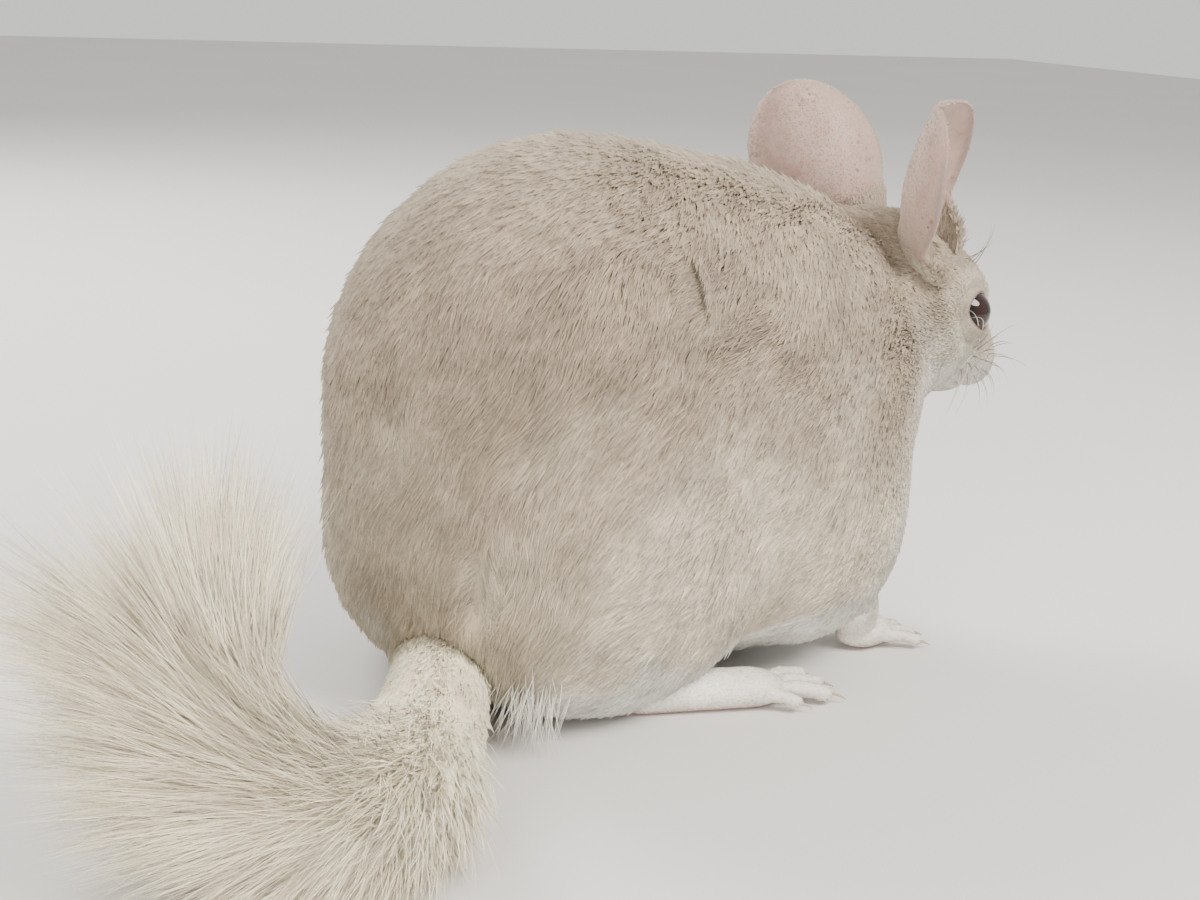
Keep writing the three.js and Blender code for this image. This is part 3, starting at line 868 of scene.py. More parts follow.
def attribute(nodes, name, output="Color"):
    node = nodes.new("ShaderNodeAttribute")
    node.attribute_name = name
    return node.outputs[output]


@lru_cache(maxsize=None)
def coat_material():
    """Fur: its own colour with fine streaks and soft patches, matt, with a little sheen."""
    material, nodes, links, shader = new_material("Coat")
    place = nodes.new("ShaderNodeTexCoord").outputs["Object"]
    patches = ranged(nodes, links, noise(nodes, links, place, 95, 3), 0.3, 0.7, 0.82, 1.12)
    streaks = ranged(nodes, links, noise(nodes, links, place, 900, 2, 0.7), 0.25, 0.75, 0.88, 1.10)
    colour = scaled_colour(nodes, links, attribute(nodes, "coat_colour"), patches)
    links.new(scaled_colour(nodes, links, colour, streaks), shader.inputs["Base Color"])
    set_inputs(shader, Roughness=0.75, Specular_IOR_Level=0.2, Sheen_Weight=0.08, Sheen_Roughness=0.45)
    add_bump(nodes, links, shader, noise(nodes, links, place, 1500, 2, 0.7), 0.25, 0.0003)
    return material


@lru_cache(maxsize=None)
def skin_material():
    """The coat's colours, already darkened as painted shade under the hair, with a fine nap; bare pink
    where the nose, lips and soles are; near-black painted shade in the nostrils, lips and cleft.
    """
    material, nodes, links, shader = new_material("Skin under the coat")
    place = nodes.new("ShaderNodeTexCoord").outputs["Object"]
    bare = attribute(nodes, "bare", "Fac")
    nap = noise(nodes, links, place, 1300, 3, 0.7)
    shade = ranged(nodes, links, nap, 0.25, 0.75, 0.72, 1.05)
    fur = scaled_colour(nodes, links, attribute(nodes, "coat_colour"), shade)
    flush = ranged(nodes, links, noise(nodes, links, place, 420, 4), 0.3, 0.7, 0.0, 1.0)
    pink = mixed_colour(nodes, links, (0.43, 0.25, 0.215), (0.56, 0.37, 0.32), flush)
    surface = mixed_colour(nodes, links, fur, pink, bare)
    # painted shade: near-black where the nostrils, the lip line and the cleft are pressed in
    surface = mixed_colour(nodes, links, surface, (0.05, 0.022, 0.018), attribute(nodes, "hollow_shade", "Fac"))
    links.new(surface, shader.inputs["Base Color"])
    links.new(ranged(nodes, links, bare, 0, 1, 0.85, 0.48), shader.inputs["Roughness"])
    set_inputs(shader, Specular_IOR_Level=0.3)
    add_bump(nodes, links, shader, nap, 0.5, 0.0003)
    return material


@lru_cache(maxsize=None)
def ear_material():
    """Thin pinkish skin with freckles and faint veins, greyer towards the rim."""
    material, nodes, links, shader = new_material("Ear skin")
    place = nodes.new("ShaderNodeTexCoord").outputs["Object"]
    rim = attribute(nodes, "rim", "Fac")
    soft = ranged(nodes, links, noise(nodes, links, place, 130, 4), 0.3, 0.7, 0.0, 1.0)
    base = mixed_colour(nodes, links, (0.38, 0.26, 0.21), (0.48, 0.345, 0.285), soft)
    base = mixed_colour(nodes, links, base, (0.27, 0.20, 0.17), rim)
    veins = nodes.new("ShaderNodeTexVoronoi")
    veins.feature = "DISTANCE_TO_EDGE"
    veins.inputs["Scale"].default_value = 105
    warped = nodes.new("ShaderNodeVectorMath")
    warped.operation = "MULTIPLY_ADD"
    bend = nodes.new("ShaderNodeTexNoise")
    bend.inputs["Scale"].default_value = 160
    links.new(place, bend.inputs["Vector"])
    links.new(bend.outputs["Color"], warped.inputs[0])
    warped.inputs[1].default_value = (0.006, 0.006, 0.006)
    links.new(place, warped.inputs[2])
    links.new(warped.outputs["Vector"], veins.inputs["Vector"])
    vein = ranged(nodes, links, veins.outputs["Distance"], 0.0, 0.05, 0.32, 0.0)
    base = mixed_colour(nodes, links, base, (0.42, 0.16, 0.15), vein)
    spots = nodes.new("ShaderNodeTexVoronoi")
    spots.inputs["Scale"].default_value = 420
    spots.inputs["Randomness"].default_value = 1.0
    links.new(place, spots.inputs["Vector"])
    fewer = ranged(nodes, links, noise(nodes, links, place, 75, 2), 0.52, 0.66, 0.0, 0.8)
    dots = ranged(nodes, links, spots.outputs["Distance"], 0.18, 0.3, 1.0, 0.0)
    freckle = nodes.new("ShaderNodeMath")
    freckle.operation = "MULTIPLY"
    links.new(fewer, freckle.inputs[0])
    links.new(dots, freckle.inputs[1])
    base = mixed_colour(nodes, links, base, (0.12, 0.075, 0.06), freckle.outputs[0])
    links.new(base, shader.inputs["Base Color"])
    set_inputs(
        shader,
        Roughness=0.52,
        Specular_IOR_Level=0.35,
        Subsurface_Weight=0.18,
        Subsurface_Scale=0.002,
        Sheen_Weight=0.1,
    )
    shader.inputs["Subsurface Radius"].default_value = (1.0, 0.35, 0.2)
    add_bump(nodes, links, shader, noise(nodes, links, place, 700, 4, 0.6), 0.35, 0.0003)
    return material


@lru_cache(maxsize=None)
def eye_material():
    """A nearly black, deep ruby eye: dark upright pupil, brown-red iris, wet clear surface."""
    material, nodes, links, shader = new_material("Eye")
    place = nodes.new("ShaderNodeTexCoord").outputs["Object"]
    iris = attribute(nodes, "iris", "Fac")
    streak = ranged(nodes, links, noise(nodes, links, place, 900, 3), 0.3, 0.7, 0.0, 1.0)
    ring = mixed_colour(nodes, links, (0.010, 0.0032, 0.0024), (0.026, 0.0075, 0.005), streak)
    colour = mixed_colour(nodes, links, (0.0022, 0.0014, 0.0013), ring, iris)
    links.new(colour, shader.inputs["Base Color"])
    set_inputs(shader, Roughness=0.05, Specular_IOR_Level=0.35, IOR=1.38)
    set_inputs(shader, Coat_Weight=0.5, Coat_Roughness=0.02)
    return material


@lru_cache(maxsize=None)
def horn_material():
    """Claws: brownish horn with a fine grain of darker and paler tones."""
    material, nodes, links, shader = new_material("Claw horn")
    place = nodes.new("ShaderNodeTexCoord").outputs["Object"]
    grain = ranged(nodes, links, noise(nodes, links, place, 1600, 3), 0.3, 0.7, 0.0, 1.0)
    horn = mixed_colour(nodes, links, (0.30, 0.20, 0.15), (0.52, 0.40, 0.31), grain)
    links.new(horn, shader.inputs["Base Color"])
    set_inputs(shader, Roughness=0.34, Specular_IOR_Level=0.5)
    add_bump(nodes, links, shader, grain, 0.15, 0.0002)
    return material


@lru_cache(maxsize=None)
def whisker_material():
    """Whiskers: stiff, slightly glossy hairs, from brown to nearly white."""
    material, nodes, links, shader = new_material("Whisker hair")
    place = nodes.new("ShaderNodeTexCoord").outputs["Object"]
    change = ranged(nodes, links, noise(nodes, links, place, 40, 1), 0.35, 0.65, 0.0, 1.0)
    hair = mixed_colour(nodes, links, (0.20, 0.15, 0.12), (0.74, 0.70, 0.63), change)
    links.new(hair, shader.inputs["Base Color"])
    set_inputs(shader, Roughness=0.38, Specular_IOR_Level=0.5)
    return material


# Roots and hairs


def roots_on_rings(points, normals, density_at, rng):
    """Scattered roots on rings of points: their places, normals, and share round and along the rings."""
    rings, slices = points.shape[:2]
    right = np.roll(points, -1, 1)
    a, b, c, d = points[:-1], right[:-1], right[1:], points[1:]
    area = 0.5 * np.linalg.norm(np.cross(c - a, d - b), axis=2)
    middle = (a + b + c + d) / 4
    count = area * density_at(middle.reshape(-1, 3)).reshape(area.shape)
    number = np.floor(count + rng.random(count.shape)).astype(int).ravel()
    cell = np.repeat(np.arange(len(number)), number)
    ring, place = cell // slices, cell % slices
    s, t = rng.random(len(cell)), rng.random(len(cell))
    beside = (place + 1) % slices

    def between(grid):
        low = lerp(grid[ring, place], grid[ring, beside], s[:, None])
        high = lerp(grid[ring + 1, place], grid[ring + 1, beside], s[:, None])
        return lerp(low, high, t[:, None])

    uv = np.stack(((place + s) / slices, (ring + t) / (rings - 1)), 1)
    return between(points), unit(between(normals)), uv


def roots_on_faces(points, faces, density_at, rng):
    """Scattered roots on a surface of triangles."""
    a, b, c = (points[faces[:, i]] for i in range(3))
    normal = np.cross(b - a, c - a)
    area = np.linalg.norm(normal, axis=1) / 2
    count = area * density_at((a + b + c) / 3)
    number = np.floor(count + rng.random(len(count))).astype(int)
    which = np.repeat(np.arange(len(number)), number)
    s, t = rng.random(len(which)), rng.random(len(which))
    flip = s + t > 1
    s[flip], t[flip] = 1 - s[flip], 1 - t[flip]
    places = a[which] + (b - a)[which] * s[:, None] + (c - a)[which] * t[:, None]
    return places, unit(normal)[which]


def tufts(roots, normals, lie, length, width, lift, clump=None, sink=0.5):
    """Thin closed tufts of four triangles: two root points, a ridge point and a tip."""
    count = len(roots)
    side = unit(np.cross(normals, lie))
    rise, run = np.sin(lift)[:, None], np.cos(lift)[:, None]
    length, width = length[:, None], width[:, None]
    tip = roots + lie * run * length + normals * rise * length
    if clump is not None:
        centres, strength = clump
        pull = centres - roots
        pull = pull - dot(pull, normals) * normals
        tip = tip + pull * strength[:, None]
    base = roots - normals * sink
    left = base + side * width / 2
    right = base - side * width / 2
    ridge = lerp(roots, tip, 0.42) + normals * (0.10 * length * run + width * 0.16)
    points = np.stack((left, right, ridge, tip), 1)
    points[..., 2] = np.maximum(points[..., 2], FLOOR_GAP)
    soft = np.stack(
        (
            normals * 0.8 + side * 0.5,
            normals * 0.8 - side * 0.5,
            normals + lie * 0.05,
            normals * 0.9 + lie * 0.35,
        ),
        1,
    )
    first = 4 * np.arange(count)[:, None]
    corners = np.array((0, 1, 2, 0, 2, 3, 1, 3, 2, 0, 3, 1))
    soft = soft[:, corners]
    # the underside, which shows where the hair comes towards the eye
    soft[:, 9:] = (lie * 0.8 + normals * 0.35)[:, None]
    return points.reshape(-1, 3), (first + corners).reshape(-1, 3), soft.reshape(-1, 3)


PATCH = 0.0014
PATCH_CORNERS = np.array(((-1, -1), (1, -1), (0, 0.1), (0, 1))) * PATCH


def tuft_layout(uv, faces, corners=PATCH_CORNERS):
    """Each tuft as a small patch at its root's place on the skin's layout, for each corner of its faces."""
    per_vertex = (uv[:, None] + corners[None]).reshape(-1, 2)
    return per_vertex[faces.ravel()]


def strand_corners(steps):
    """Where the points of a strand lie in its patch, from the share along it that each point is at."""
    across = np.tile((-1.0, 1.0, 0.0), len(steps) // 3 + 1)[: len(steps)]
    return np.stack((across, steps * 2 - 1), 1) * PATCH


def shaded(colours, rng, marks=None, root=0.86, ridge=0.97, tip=1.05, spread=0.11):
    """The colour of each tuft's four points: darker at the root, which is painted shade deep in the coat,
    and lighter at the tip.
    """
    count = len(colours)
    own = 1 + spread * rng.standard_normal(count)
    if marks is not None:
        own = own + 0.12 * (marks - 0.5)
    steps = np.array((root, root, ridge, tip))
    return np.clip(colours[:, None] * own[:, None, None] * steps[None, :, None], 0, 0.95).reshape(-1, 3)


def strands(paths, width, flatness=0.6):
    """Long tapered hairs with three sides, along paths of points (count, steps, 3)."""
    count, steps = paths.shape[:2]
    forward = unit(np.gradient(paths, axis=1))
    reference = np.where(np.abs(forward[:, :1, 2:3]) > 0.9, np.array((1.0, 0, 0)), np.array((0, 0, 1.0)))
    side = unit(np.cross(forward, np.broadcast_to(reference, forward.shape)))
    up = np.cross(side, forward)
    shares = np.linspace(0, 1, steps)
    taper = (np.clip(1.02 - shares, 0, 1) ** 0.7)[None, :-1, None] * width[:, None, None] / 2
    rings = [
        paths[:, :-1] + side[:, :-1] * taper * math.cos(a) + up[:, :-1] * taper * flatness * math.sin(a)
        for a in (math.pi / 2, math.pi * 7 / 6, math.pi * 11 / 6)
    ]
    rings = np.stack(rings, 2).reshape(count, (steps - 1) * 3, 3)
    points = np.concatenate((rings, paths[:, -1:]), 1)
    points[..., 2] = np.maximum(points[..., 2], FLOOR_GAP)
    faces = [(0, 1, 2)]
    for ring in range(steps - 2):
        a = ring * 3
        for i in range(3):
            j = (i + 1) % 3
            faces += [(a + i, a + 3 + i, a + 3 + j), (a + i, a + 3 + j, a + j)]
    a, top = (steps - 2) * 3, (steps - 1) * 3
    faces += [(a + i, top, a + (i + 1) % 3) for i in range(3)]
    one = facing_outwards(points[0] - points[0].mean(0), np.array(faces))
    faces = one[None] + (np.arange(count) * (top + 1))[:, None, None]
    along = np.concatenate((np.repeat(shares[:-1], 3), (1.0,)))
    return points.reshape(-1, 3), faces.reshape(-1, 3), along


def body_lie(points, normals):
    """The way the hair lies on the trunk and head: back from the nose, then backwards and down."""
    local = into_head(points)
    from_nose = unit(points - from_head(in_head(0, -0.5, 0.02)))
    from_nose = from_nose + np.array((0, 0.25, 0.0))
    level = np.ones(len(points))
    sideways = np.sign(points[:, 0]) * smoothstep(np.abs(points[:, 0]), 4, 30)
    trunk = np.stack((0.35 * sideways, 0.80 * level, -0.62 * level), 1)
    # over the rump the hair runs down towards the tail
    rump = smoothstep(points[:, 1], 10, 75)
    down = np.stack((-0.004 * points[:, 0], 0.15 * level, -level), 1)
    trunk = lerp(trunk, down, rump[:, None])
    head = smoothstep(-local[:, 1], -34, -10)
    flow = lerp(trunk, from_nose, head[:, None])
    turned = ripple(points, 42, 21) * 0.22 + ripple(points, 17, 22) * 0.14
    flow = across_surface(flow, normals)
    side = np.cross(normals, flow)
    return unit(flow + side * (turned * lerp(1.0, 0.35, head))[:, None])


def hair_length(points):
    """The coat's length: shortest on the nose, longest on the trunk."""
    back = into_head(points)[:, 1]
    length = 1.5 + 2.1 * smoothstep(back, -36, -8) + 5.2 * smoothstep(back, -6, 36)
    low = smoothstep(-points[:, 2], -26, -8)
    return length * lerp(1.0, 0.8, low * smoothstep(back, 20, 60))


# Where the coat parts: a crease over the right flank, and one beside the root of the tail
PARTINGS = [
    [on_body(-0.37, -0.012, 0.835), on_body(-0.40, -0.013, 0.80), on_body(-0.426, -0.014, 0.76)],
    [on_body(-0.373, 0.258, 0.377), on_body(-0.377, 0.262, 0.327), on_body(-0.37, 0.266, 0.274)],
]


def parted(points, normals, lie):
    """Hair beside a parting leans away from it. Gives the new directions and how near the parting is."""
    nearness = np.zeros(len(points))
    surface = points + normals * coat_depth(points)[:, None]
    for line in PARTINGS:
        line = np.asarray(line, float)
        away = away_from_line(surface, line)
        near = np.exp(-((away / 4.0) ** 2))
        along = across_surface(np.broadcast_to(line[-1] - line[0], points.shape), normals)
        side = np.cross(normals, along)
        which = np.sign(dot(points - line.mean(0), side))
        lie = unit(lie + side * which * (0.9 * near)[:, None])
        nearness = np.maximum(nearness, np.exp(-((away / 1.5) ** 2)))
    return lie, nearness


# Settings


class ChinchillaCoat(bpy.types.PropertyGroup):
    length: FloatProperty(
        name="Length", description="Length of the hair on the trunk",
        default=1.0, min=0.3, max=2.0, subtype="FACTOR",
    )
    width: FloatProperty(
        name="Tuft Width", description="Width of a tuft for its length",
        default=0.078, min=0.03, max=0.4, subtype="FACTOR",
    )
    lift: FloatProperty(
        name="Lift", description="How far the hair stands off the skin",
        default=math.radians(15), min=0, max=math.radians(80), subtype="ANGLE",
    )
    density: FloatProperty(
        name="Density", description="Tufts to a square millimetre of the trunk",
        default=2.2, min=0.1, max=4,
    )
    clump: FloatProperty(
        name="Clump Size", description="Size of the clumps that the hair gathers in, in millimetres",
        default=5.5, min=1, max=30,
    )
    back_colour: FloatVectorProperty(
        name="Back", description="Colour of the back",
        default=BACK_COLOUR, min=0, max=1, subtype="COLOR",
    )
    flank_colour: FloatVectorProperty(
        name="Flanks", description="Colour of the sides",
        default=FLANK_COLOUR, min=0, max=1, subtype="COLOR",
    )
    belly_colour: FloatVectorProperty(
        name="Belly", description="Colour underneath",
        default=BELLY_COLOUR, min=0, max=1, subtype="COLOR",
    )
    tail_colour: FloatVectorProperty(
        name="Tail", description="Colour of the tail",
        default=TAIL_COLOUR, min=0, max=1, subtype="COLOR",
    )
    seed: IntProperty(name="Seed", description="Changes where every hair grows", default=11, min=0)


class ChinchillaBrush(bpy.types.PropertyGroup):
    length: FloatProperty(
        name="Length", description="Length of the brush's longest hair",
        default=0.056, min=0.01, max=0.12, unit="LENGTH",
    )
    hairs: IntProperty(
        name="Hairs", description="How many hairs the brush has",
        default=17600, min=100, max=18000,
    )
    width: FloatProperty(
        name="Hair Width", description="Width of a hair at its root",
        default=0.00044, min=0.0001, max=0.003, unit="LENGTH",
    )


class ChinchillaFace(bpy.types.PropertyGroup):
    whiskers: IntProperty(name="Whiskers", description="Whiskers on each side", default=26, min=1, max=60)
    whisker_length: FloatProperty(
        name="Whisker Length", description="Length of the longest whisker",
        default=0.058, min=0.01, max=0.15, unit="LENGTH",
    )
    whisker_radius: FloatProperty(
        name="Whisker Radius", description="Radius of a whisker at its root",
        default=0.00017, min=0.00005, max=0.001, unit="LENGTH",
    )


class ChinchillaStage(bpy.types.PropertyGroup):
    floor_colour: FloatVectorProperty(
        name="Floor", description="Colour of the floor",
        default=(0.66, 0.645, 0.62), min=0, max=1, subtype="COLOR",
    )
    key_power: FloatProperty(
        name="Key Light", description="Power of the main light",
        default=22.0, min=0, unit="POWER",
    )
    fill_power: FloatProperty(
        name="Fill Light", description="Power of the fill light",
        default=16.0, min=0, unit="POWER",
    )


# The pieces


def ring_corners(rings, slices, name):
    """The layout of every corner of the triangles that closed_rings makes."""
    i = np.arange(slices)
    u0, u1 = i / slices, (i + 1) / slices
    last = rings - 1

    def corners(*pairs):
        return np.stack([np.stack((u, np.full(slices, v / last)), 1) for u, v in pairs], 1)

    middle = (u0 + u1) / 2
    found = [corners((middle, 0), (u1, 1), (u0, 1))]
    for ring in range(1, rings - 2):
        found.append(corners((u0, ring), (u1, ring), (u1, ring + 1)))
        found.append(corners((u0, ring), (u1, ring + 1), (u0, ring + 1)))
    found.append(corners((u0, rings - 2), (u1, rings - 2), (middle, last)))
    return placed_in_layout(name, np.concatenate(found).reshape(-1, 2))


def away_from_nose(local):
    """How far points in the head's frame are from the nose pad, where 1 is its edge; it narrows below."""
    offset = local - in_head(0, -0.53, -0.045)
    broad = lerp(2.2, 3.5, smoothstep(offset[:, 2], -2.6, 1.6))
    return np.linalg.norm(offset / np.stack((broad, 0 * broad + 4.4, 0 * broad + 2.4), 1), axis=1)


def unpressed(points, local):
    """Points of the muzzle before its openings were pressed in, near enough to colour them."""
    muzzle = local[:, 1] < -22
    back = points.copy()
    if muzzle.any():
        back[muzzle] += outward(points[muzzle]) * np.clip(-flesh(points[muzzle]) - 0.4, 0, 2)[:, None]
    return back


class CHINCHILLA_OT_skin(bpy.types.Operator):
    """Builds the skin of the whole body, with its nostrils, lips and toes"""

    bl_idname = "chinchilla.skin"
    bl_label = "Skin"

    def execute(self, context):
        settings = context.scene.chinchilla_coat
        parts, corners, normals, tones = [], [], [], []
        for name, (rings, directions) in (("body", body_skin()), ("tail", tail_skin())):
            vertices, faces = closed_rings(rings)
            uv = ring_corners(*rings.shape[:2], name)
            flipped = not np.array_equal(faces[0], (0, 2, 1))
            parts.append((vertices, faces))
            corners.append(uv.reshape(-1, 3, 2)[:, ::-1].reshape(-1, 2) if flipped else uv)
            middle = directions[1:-1].reshape(-1, 3)
            normals.append(np.vstack((directions[:1, 0], middle, directions[-1:, 0])))
            # painted shade: the skin under the coat takes 0.74 of the coat's colour, as if in the shade of
            # the hair
            tones.append(np.full(len(vertices), 0.74))
        for name, (vertices, faces, start, end) in limbs().items():
            parts.append((vertices, faces))
            corners.append(limb_layout(name, vertices[faces].mean(1), start, end).repeat(3, 0))
            corners[-1] = corners[-1] + np.tile(PATCH_CORNERS[[0, 1, 3]] * 0.5, (len(faces), 1))
            normals.append(np.zeros_like(vertices) + (0, 0, -0.35))
            # painted shade: the limbs' skin is a little darker than their coat
            tones.append(np.full(len(vertices), 0.95))
        points, faces = joined(parts)
        tones = np.concatenate(tones)
        colour = coat_colour(points, np.vstack(normals), settings) * tones[:, None]
        local = into_head(points)
        on_limb = tones > 0.9
        bare = 1 - smoothstep(away_from_nose(local), 0.95, 1.3)
        lips = np.exp(-((away_from_line(points, lip_line()) / 1.0) ** 2)) * smoothstep(-local[:, 1], 24, 30)
        bare = np.maximum(bare, 0.6 * lips)
        bare = np.maximum(bare, 0.9 * on_limb * smoothstep(-points[:, 2], -2.6, -1.0))
        for side in (1, -1):
            for root, tip, _ in (*fingers(side)[1], *toes(side)[4]):
                end_of_digit = [lerp(root, tip, 0.6), tip]
                near_tip = np.exp(-((away_from_line(points, end_of_digit) / 2.6) ** 2))
                bare = np.maximum(bare, 0.4 * on_limb * near_tip)
        # painted shade: the pressed-in nostrils, lip line and cleft turn near-black, as deep as they are
        # pressed in
        hollow_shade = np.clip(0.85 * face_openings(unpressed(points, local)), 0, 0.92)
        skin = solid_piece(
            "skin",
            points,
            faces,
            skin_material(),
            colours=colour,
            uv=np.vstack(corners),
            values={"bare": bare, "hollow_shade": hollow_shade},
        )
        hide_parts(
            "torso",
            "neck",
            "head",
            "tail_root",
            "tail_middle",
            *(
                f"{limb}_{side}"
                for limb in ("hind_leg", "hind_foot", "foreleg", "forepaw")
                for side in ("left", "right")
            ),
        )
        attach(skin, "root")
        return {"FINISHED"}


def add_coat(
    name,
    roots,
    normals,
    uv,
    lie,
    length,
    width,
    lift,
    colours,
    rng,
    clump=None,
    marks=None,
    slot="coat",
    **tones,
):
    """One piece of the coat from its tufts."""
    if len(roots) * 4 >= 200000:
        raise RuntimeError(f"{name} has {len(roots) * 4} triangles; it needs fewer tufts")
    points, faces, soft = tufts(roots, normals, lie, length, width, lift, clump)
    piece = solid_piece(
        name,
        points,
        faces,
        coat_material(),
        normals=soft,
        colours=shaded(colours, rng, marks, **tones),
        uv=tuft_layout(uv, faces),
    )
    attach(piece, "root")
    return piece


def under_lids(points):
    """Points that an eye or its lids cover."""
    hidden = np.zeros(len(points), bool)
    for side in (1, -1):
        offset = points - eye_centre(side)
        away = np.linalg.norm(offset, axis=1)
        turned = np.degrees(np.arccos(np.clip(offset @ gaze(side) / np.maximum(away, 1e-6), -1, 1)))
        hidden |= (away < EYE_RADIUS) | ((away < EYE_RADIUS * 1.4) & (turned < 66))
    return hidden


def round_eyes(points, normals, lie):
    """Hair beside an eye is shorter and leans away from it. Gives its directions and shares of length."""
    shares = np.ones(len(points))
    for side in (1, -1):
        offset = points - eye_centre(side)
        away = np.linalg.norm(offset, axis=1)
        near = 1 - smoothstep(away, EYE_RADIUS, EYE_RADIUS + 6)
        lie = unit(lie + across_surface(offset, normals) * (1.6 * near)[:, None])
        shares = np.minimum(shares, lerp(1.0, 0.5, near))
    return lie, shares


def inside_ears(points):
    """Points between an ear's two walls, or in its cup's narrow root."""
    hidden = np.zeros(len(points), bool)
    for side in (1, -1):
        base, rise, across, facing = ear_frame(side)
        offset = points - base
        high = offset @ rise
        wide = offset @ across
        deep = offset @ facing
        hidden |= (high > -4) & (high < 4) & (np.hypot(wide, deep - 4) < 6.5)
    return hidden


class CHINCHILLA_OT_coat(bpy.types.Operator):
    """Grows the coat of the trunk and head, in overlapping tufts that follow its lie"""

    bl_idname = "chinchilla.coat"
    bl_label = "Coat"

    def execute(self, context):
        settings = context.scene.chinchilla_coat
        rng = np.random.default_rng(settings.seed)
        share = 1.0

        def density(points):
            back = into_head(points)[:, 1]
            near_head = 1 - smoothstep(back, -4, 30)
            face = 1 - smoothstep(back, -30, -6)
            return settings.density * share * (1 + 1.45 * near_head + 1.45 * face)

        roots, normals, uv = roots_on_rings(*body_skin(), density, rng)
        local = into_head(roots)
        keep = (roots[:, 2] > 1.6) & (away_from_nose(local) > 1) & ~under_lids(roots) & ~inside_ears(roots)
        lips = away_from_line(roots, lip_line())
        cleft = away_from_line(roots, cleft_line())
        mouth = np.minimum(lips, cleft)
        keep &= ~((mouth < 0.75) & (local[:, 1] < -26))
        shares, centre = nearest_on_tail(roots)
        keep &= np.linalg.norm(roots - centre, axis=1) > tail_radius(shares) - 0.5
        over_tail = 1 - smoothstep(np.linalg.norm(roots - centre, axis=1) - tail_radius(shares), 1, 12)
        roots, normals, uv, local = roots[keep], normals[keep], uv[keep], local[keep]
        mouth, over_tail = mouth[keep], over_tail[keep]

        lie = body_lie(roots, normals)
        leg_top = np.where(roots[:, :1] > 0, 1, -1) * (26, 0, 0) + np.array((0, -72, 27))
        over_legs = np.exp(-((np.linalg.norm(roots - leg_top, axis=1) / 10) ** 2))
        lie = unit(lie + across_surface(np.array((0, 0.1, -1.0)), normals) * (1.5 * over_legs)[:, None])
        lie, crease = parted(roots, normals, lie)
        lie, shorter = round_eyes(roots, normals, lie)
        length = shorter * hair_length(roots) * settings.length * rng.uniform(0.78, 1.18, len(roots))
        length = length * (1 + 0.35 * over_tail + 0.6 * over_legs)
        length = length * lerp(0.45, 1.0, smoothstep(mouth, 0.7, 3.2))
        width = np.clip(length * settings.width * rng.uniform(0.75, 1.25, len(roots)), 0.24, 0.9)
        lift = settings.lift * (1 + 0.20 * rng.standard_normal(len(roots)) + 0.16 * ripple(roots, 16, 31))
        lift = np.clip(lift, math.radians(5), math.radians(48))
        lift = lift * (1 - 0.5 * crease) * (1 + 1.1 * over_legs)
        centres, marks = clump_centres(roots, settings.clump, 3.0)
        head = smoothstep(-local[:, 1], -30, 0)
        strength = 0.17 * rng.uniform(0.3, 1.0, len(roots)) * (1 - 0.8 * head)
        jitter = 0.13 * rng.standard_normal(len(roots))[:, None] * np.cross(normals, lie)
        lie = unit(lie + jitter)
        # painted shade: the coat is darker along a parting, as if in its crease
        colours = coat_colour(roots, normals, settings) * (1 - 0.36 * crease)[:, None]
        uv = placed_in_layout("body", uv)

        order = np.zeros(len(roots), int)
        y, z = roots[:, 1], roots[:, 2]
        right = roots[:, 0] < 0
        on_head = local[:, 1] < 4
        names = {}

        def group(name, mask):
            names[name] = mask & (order == 0)
            order[mask] = 1

        group("coat_face_left", on_head & ~right)
        group("coat_face_right", on_head & right)
        group("coat_neck_left", (y < -52) & ~right)
        group("coat_neck_right", (y < -52) & right)
        group("coat_back_left", (z > 82) & ~right)
        group("coat_back_right", (z > 82) & right)
        group("coat_flank_left", (z > 0) & ~right)
        group("coat_flank_right", (z > 0) & right)
        for name, mask in names.items():
            add_coat(
                name,
                roots[mask],
                normals[mask],
                uv[mask],
                lie[mask],
                length[mask],
                width[mask],
                lift[mask],
                colours[mask],
                rng,
                (centres[mask], strength[mask]),
                marks[mask],
            )
        return {"FINISHED"}


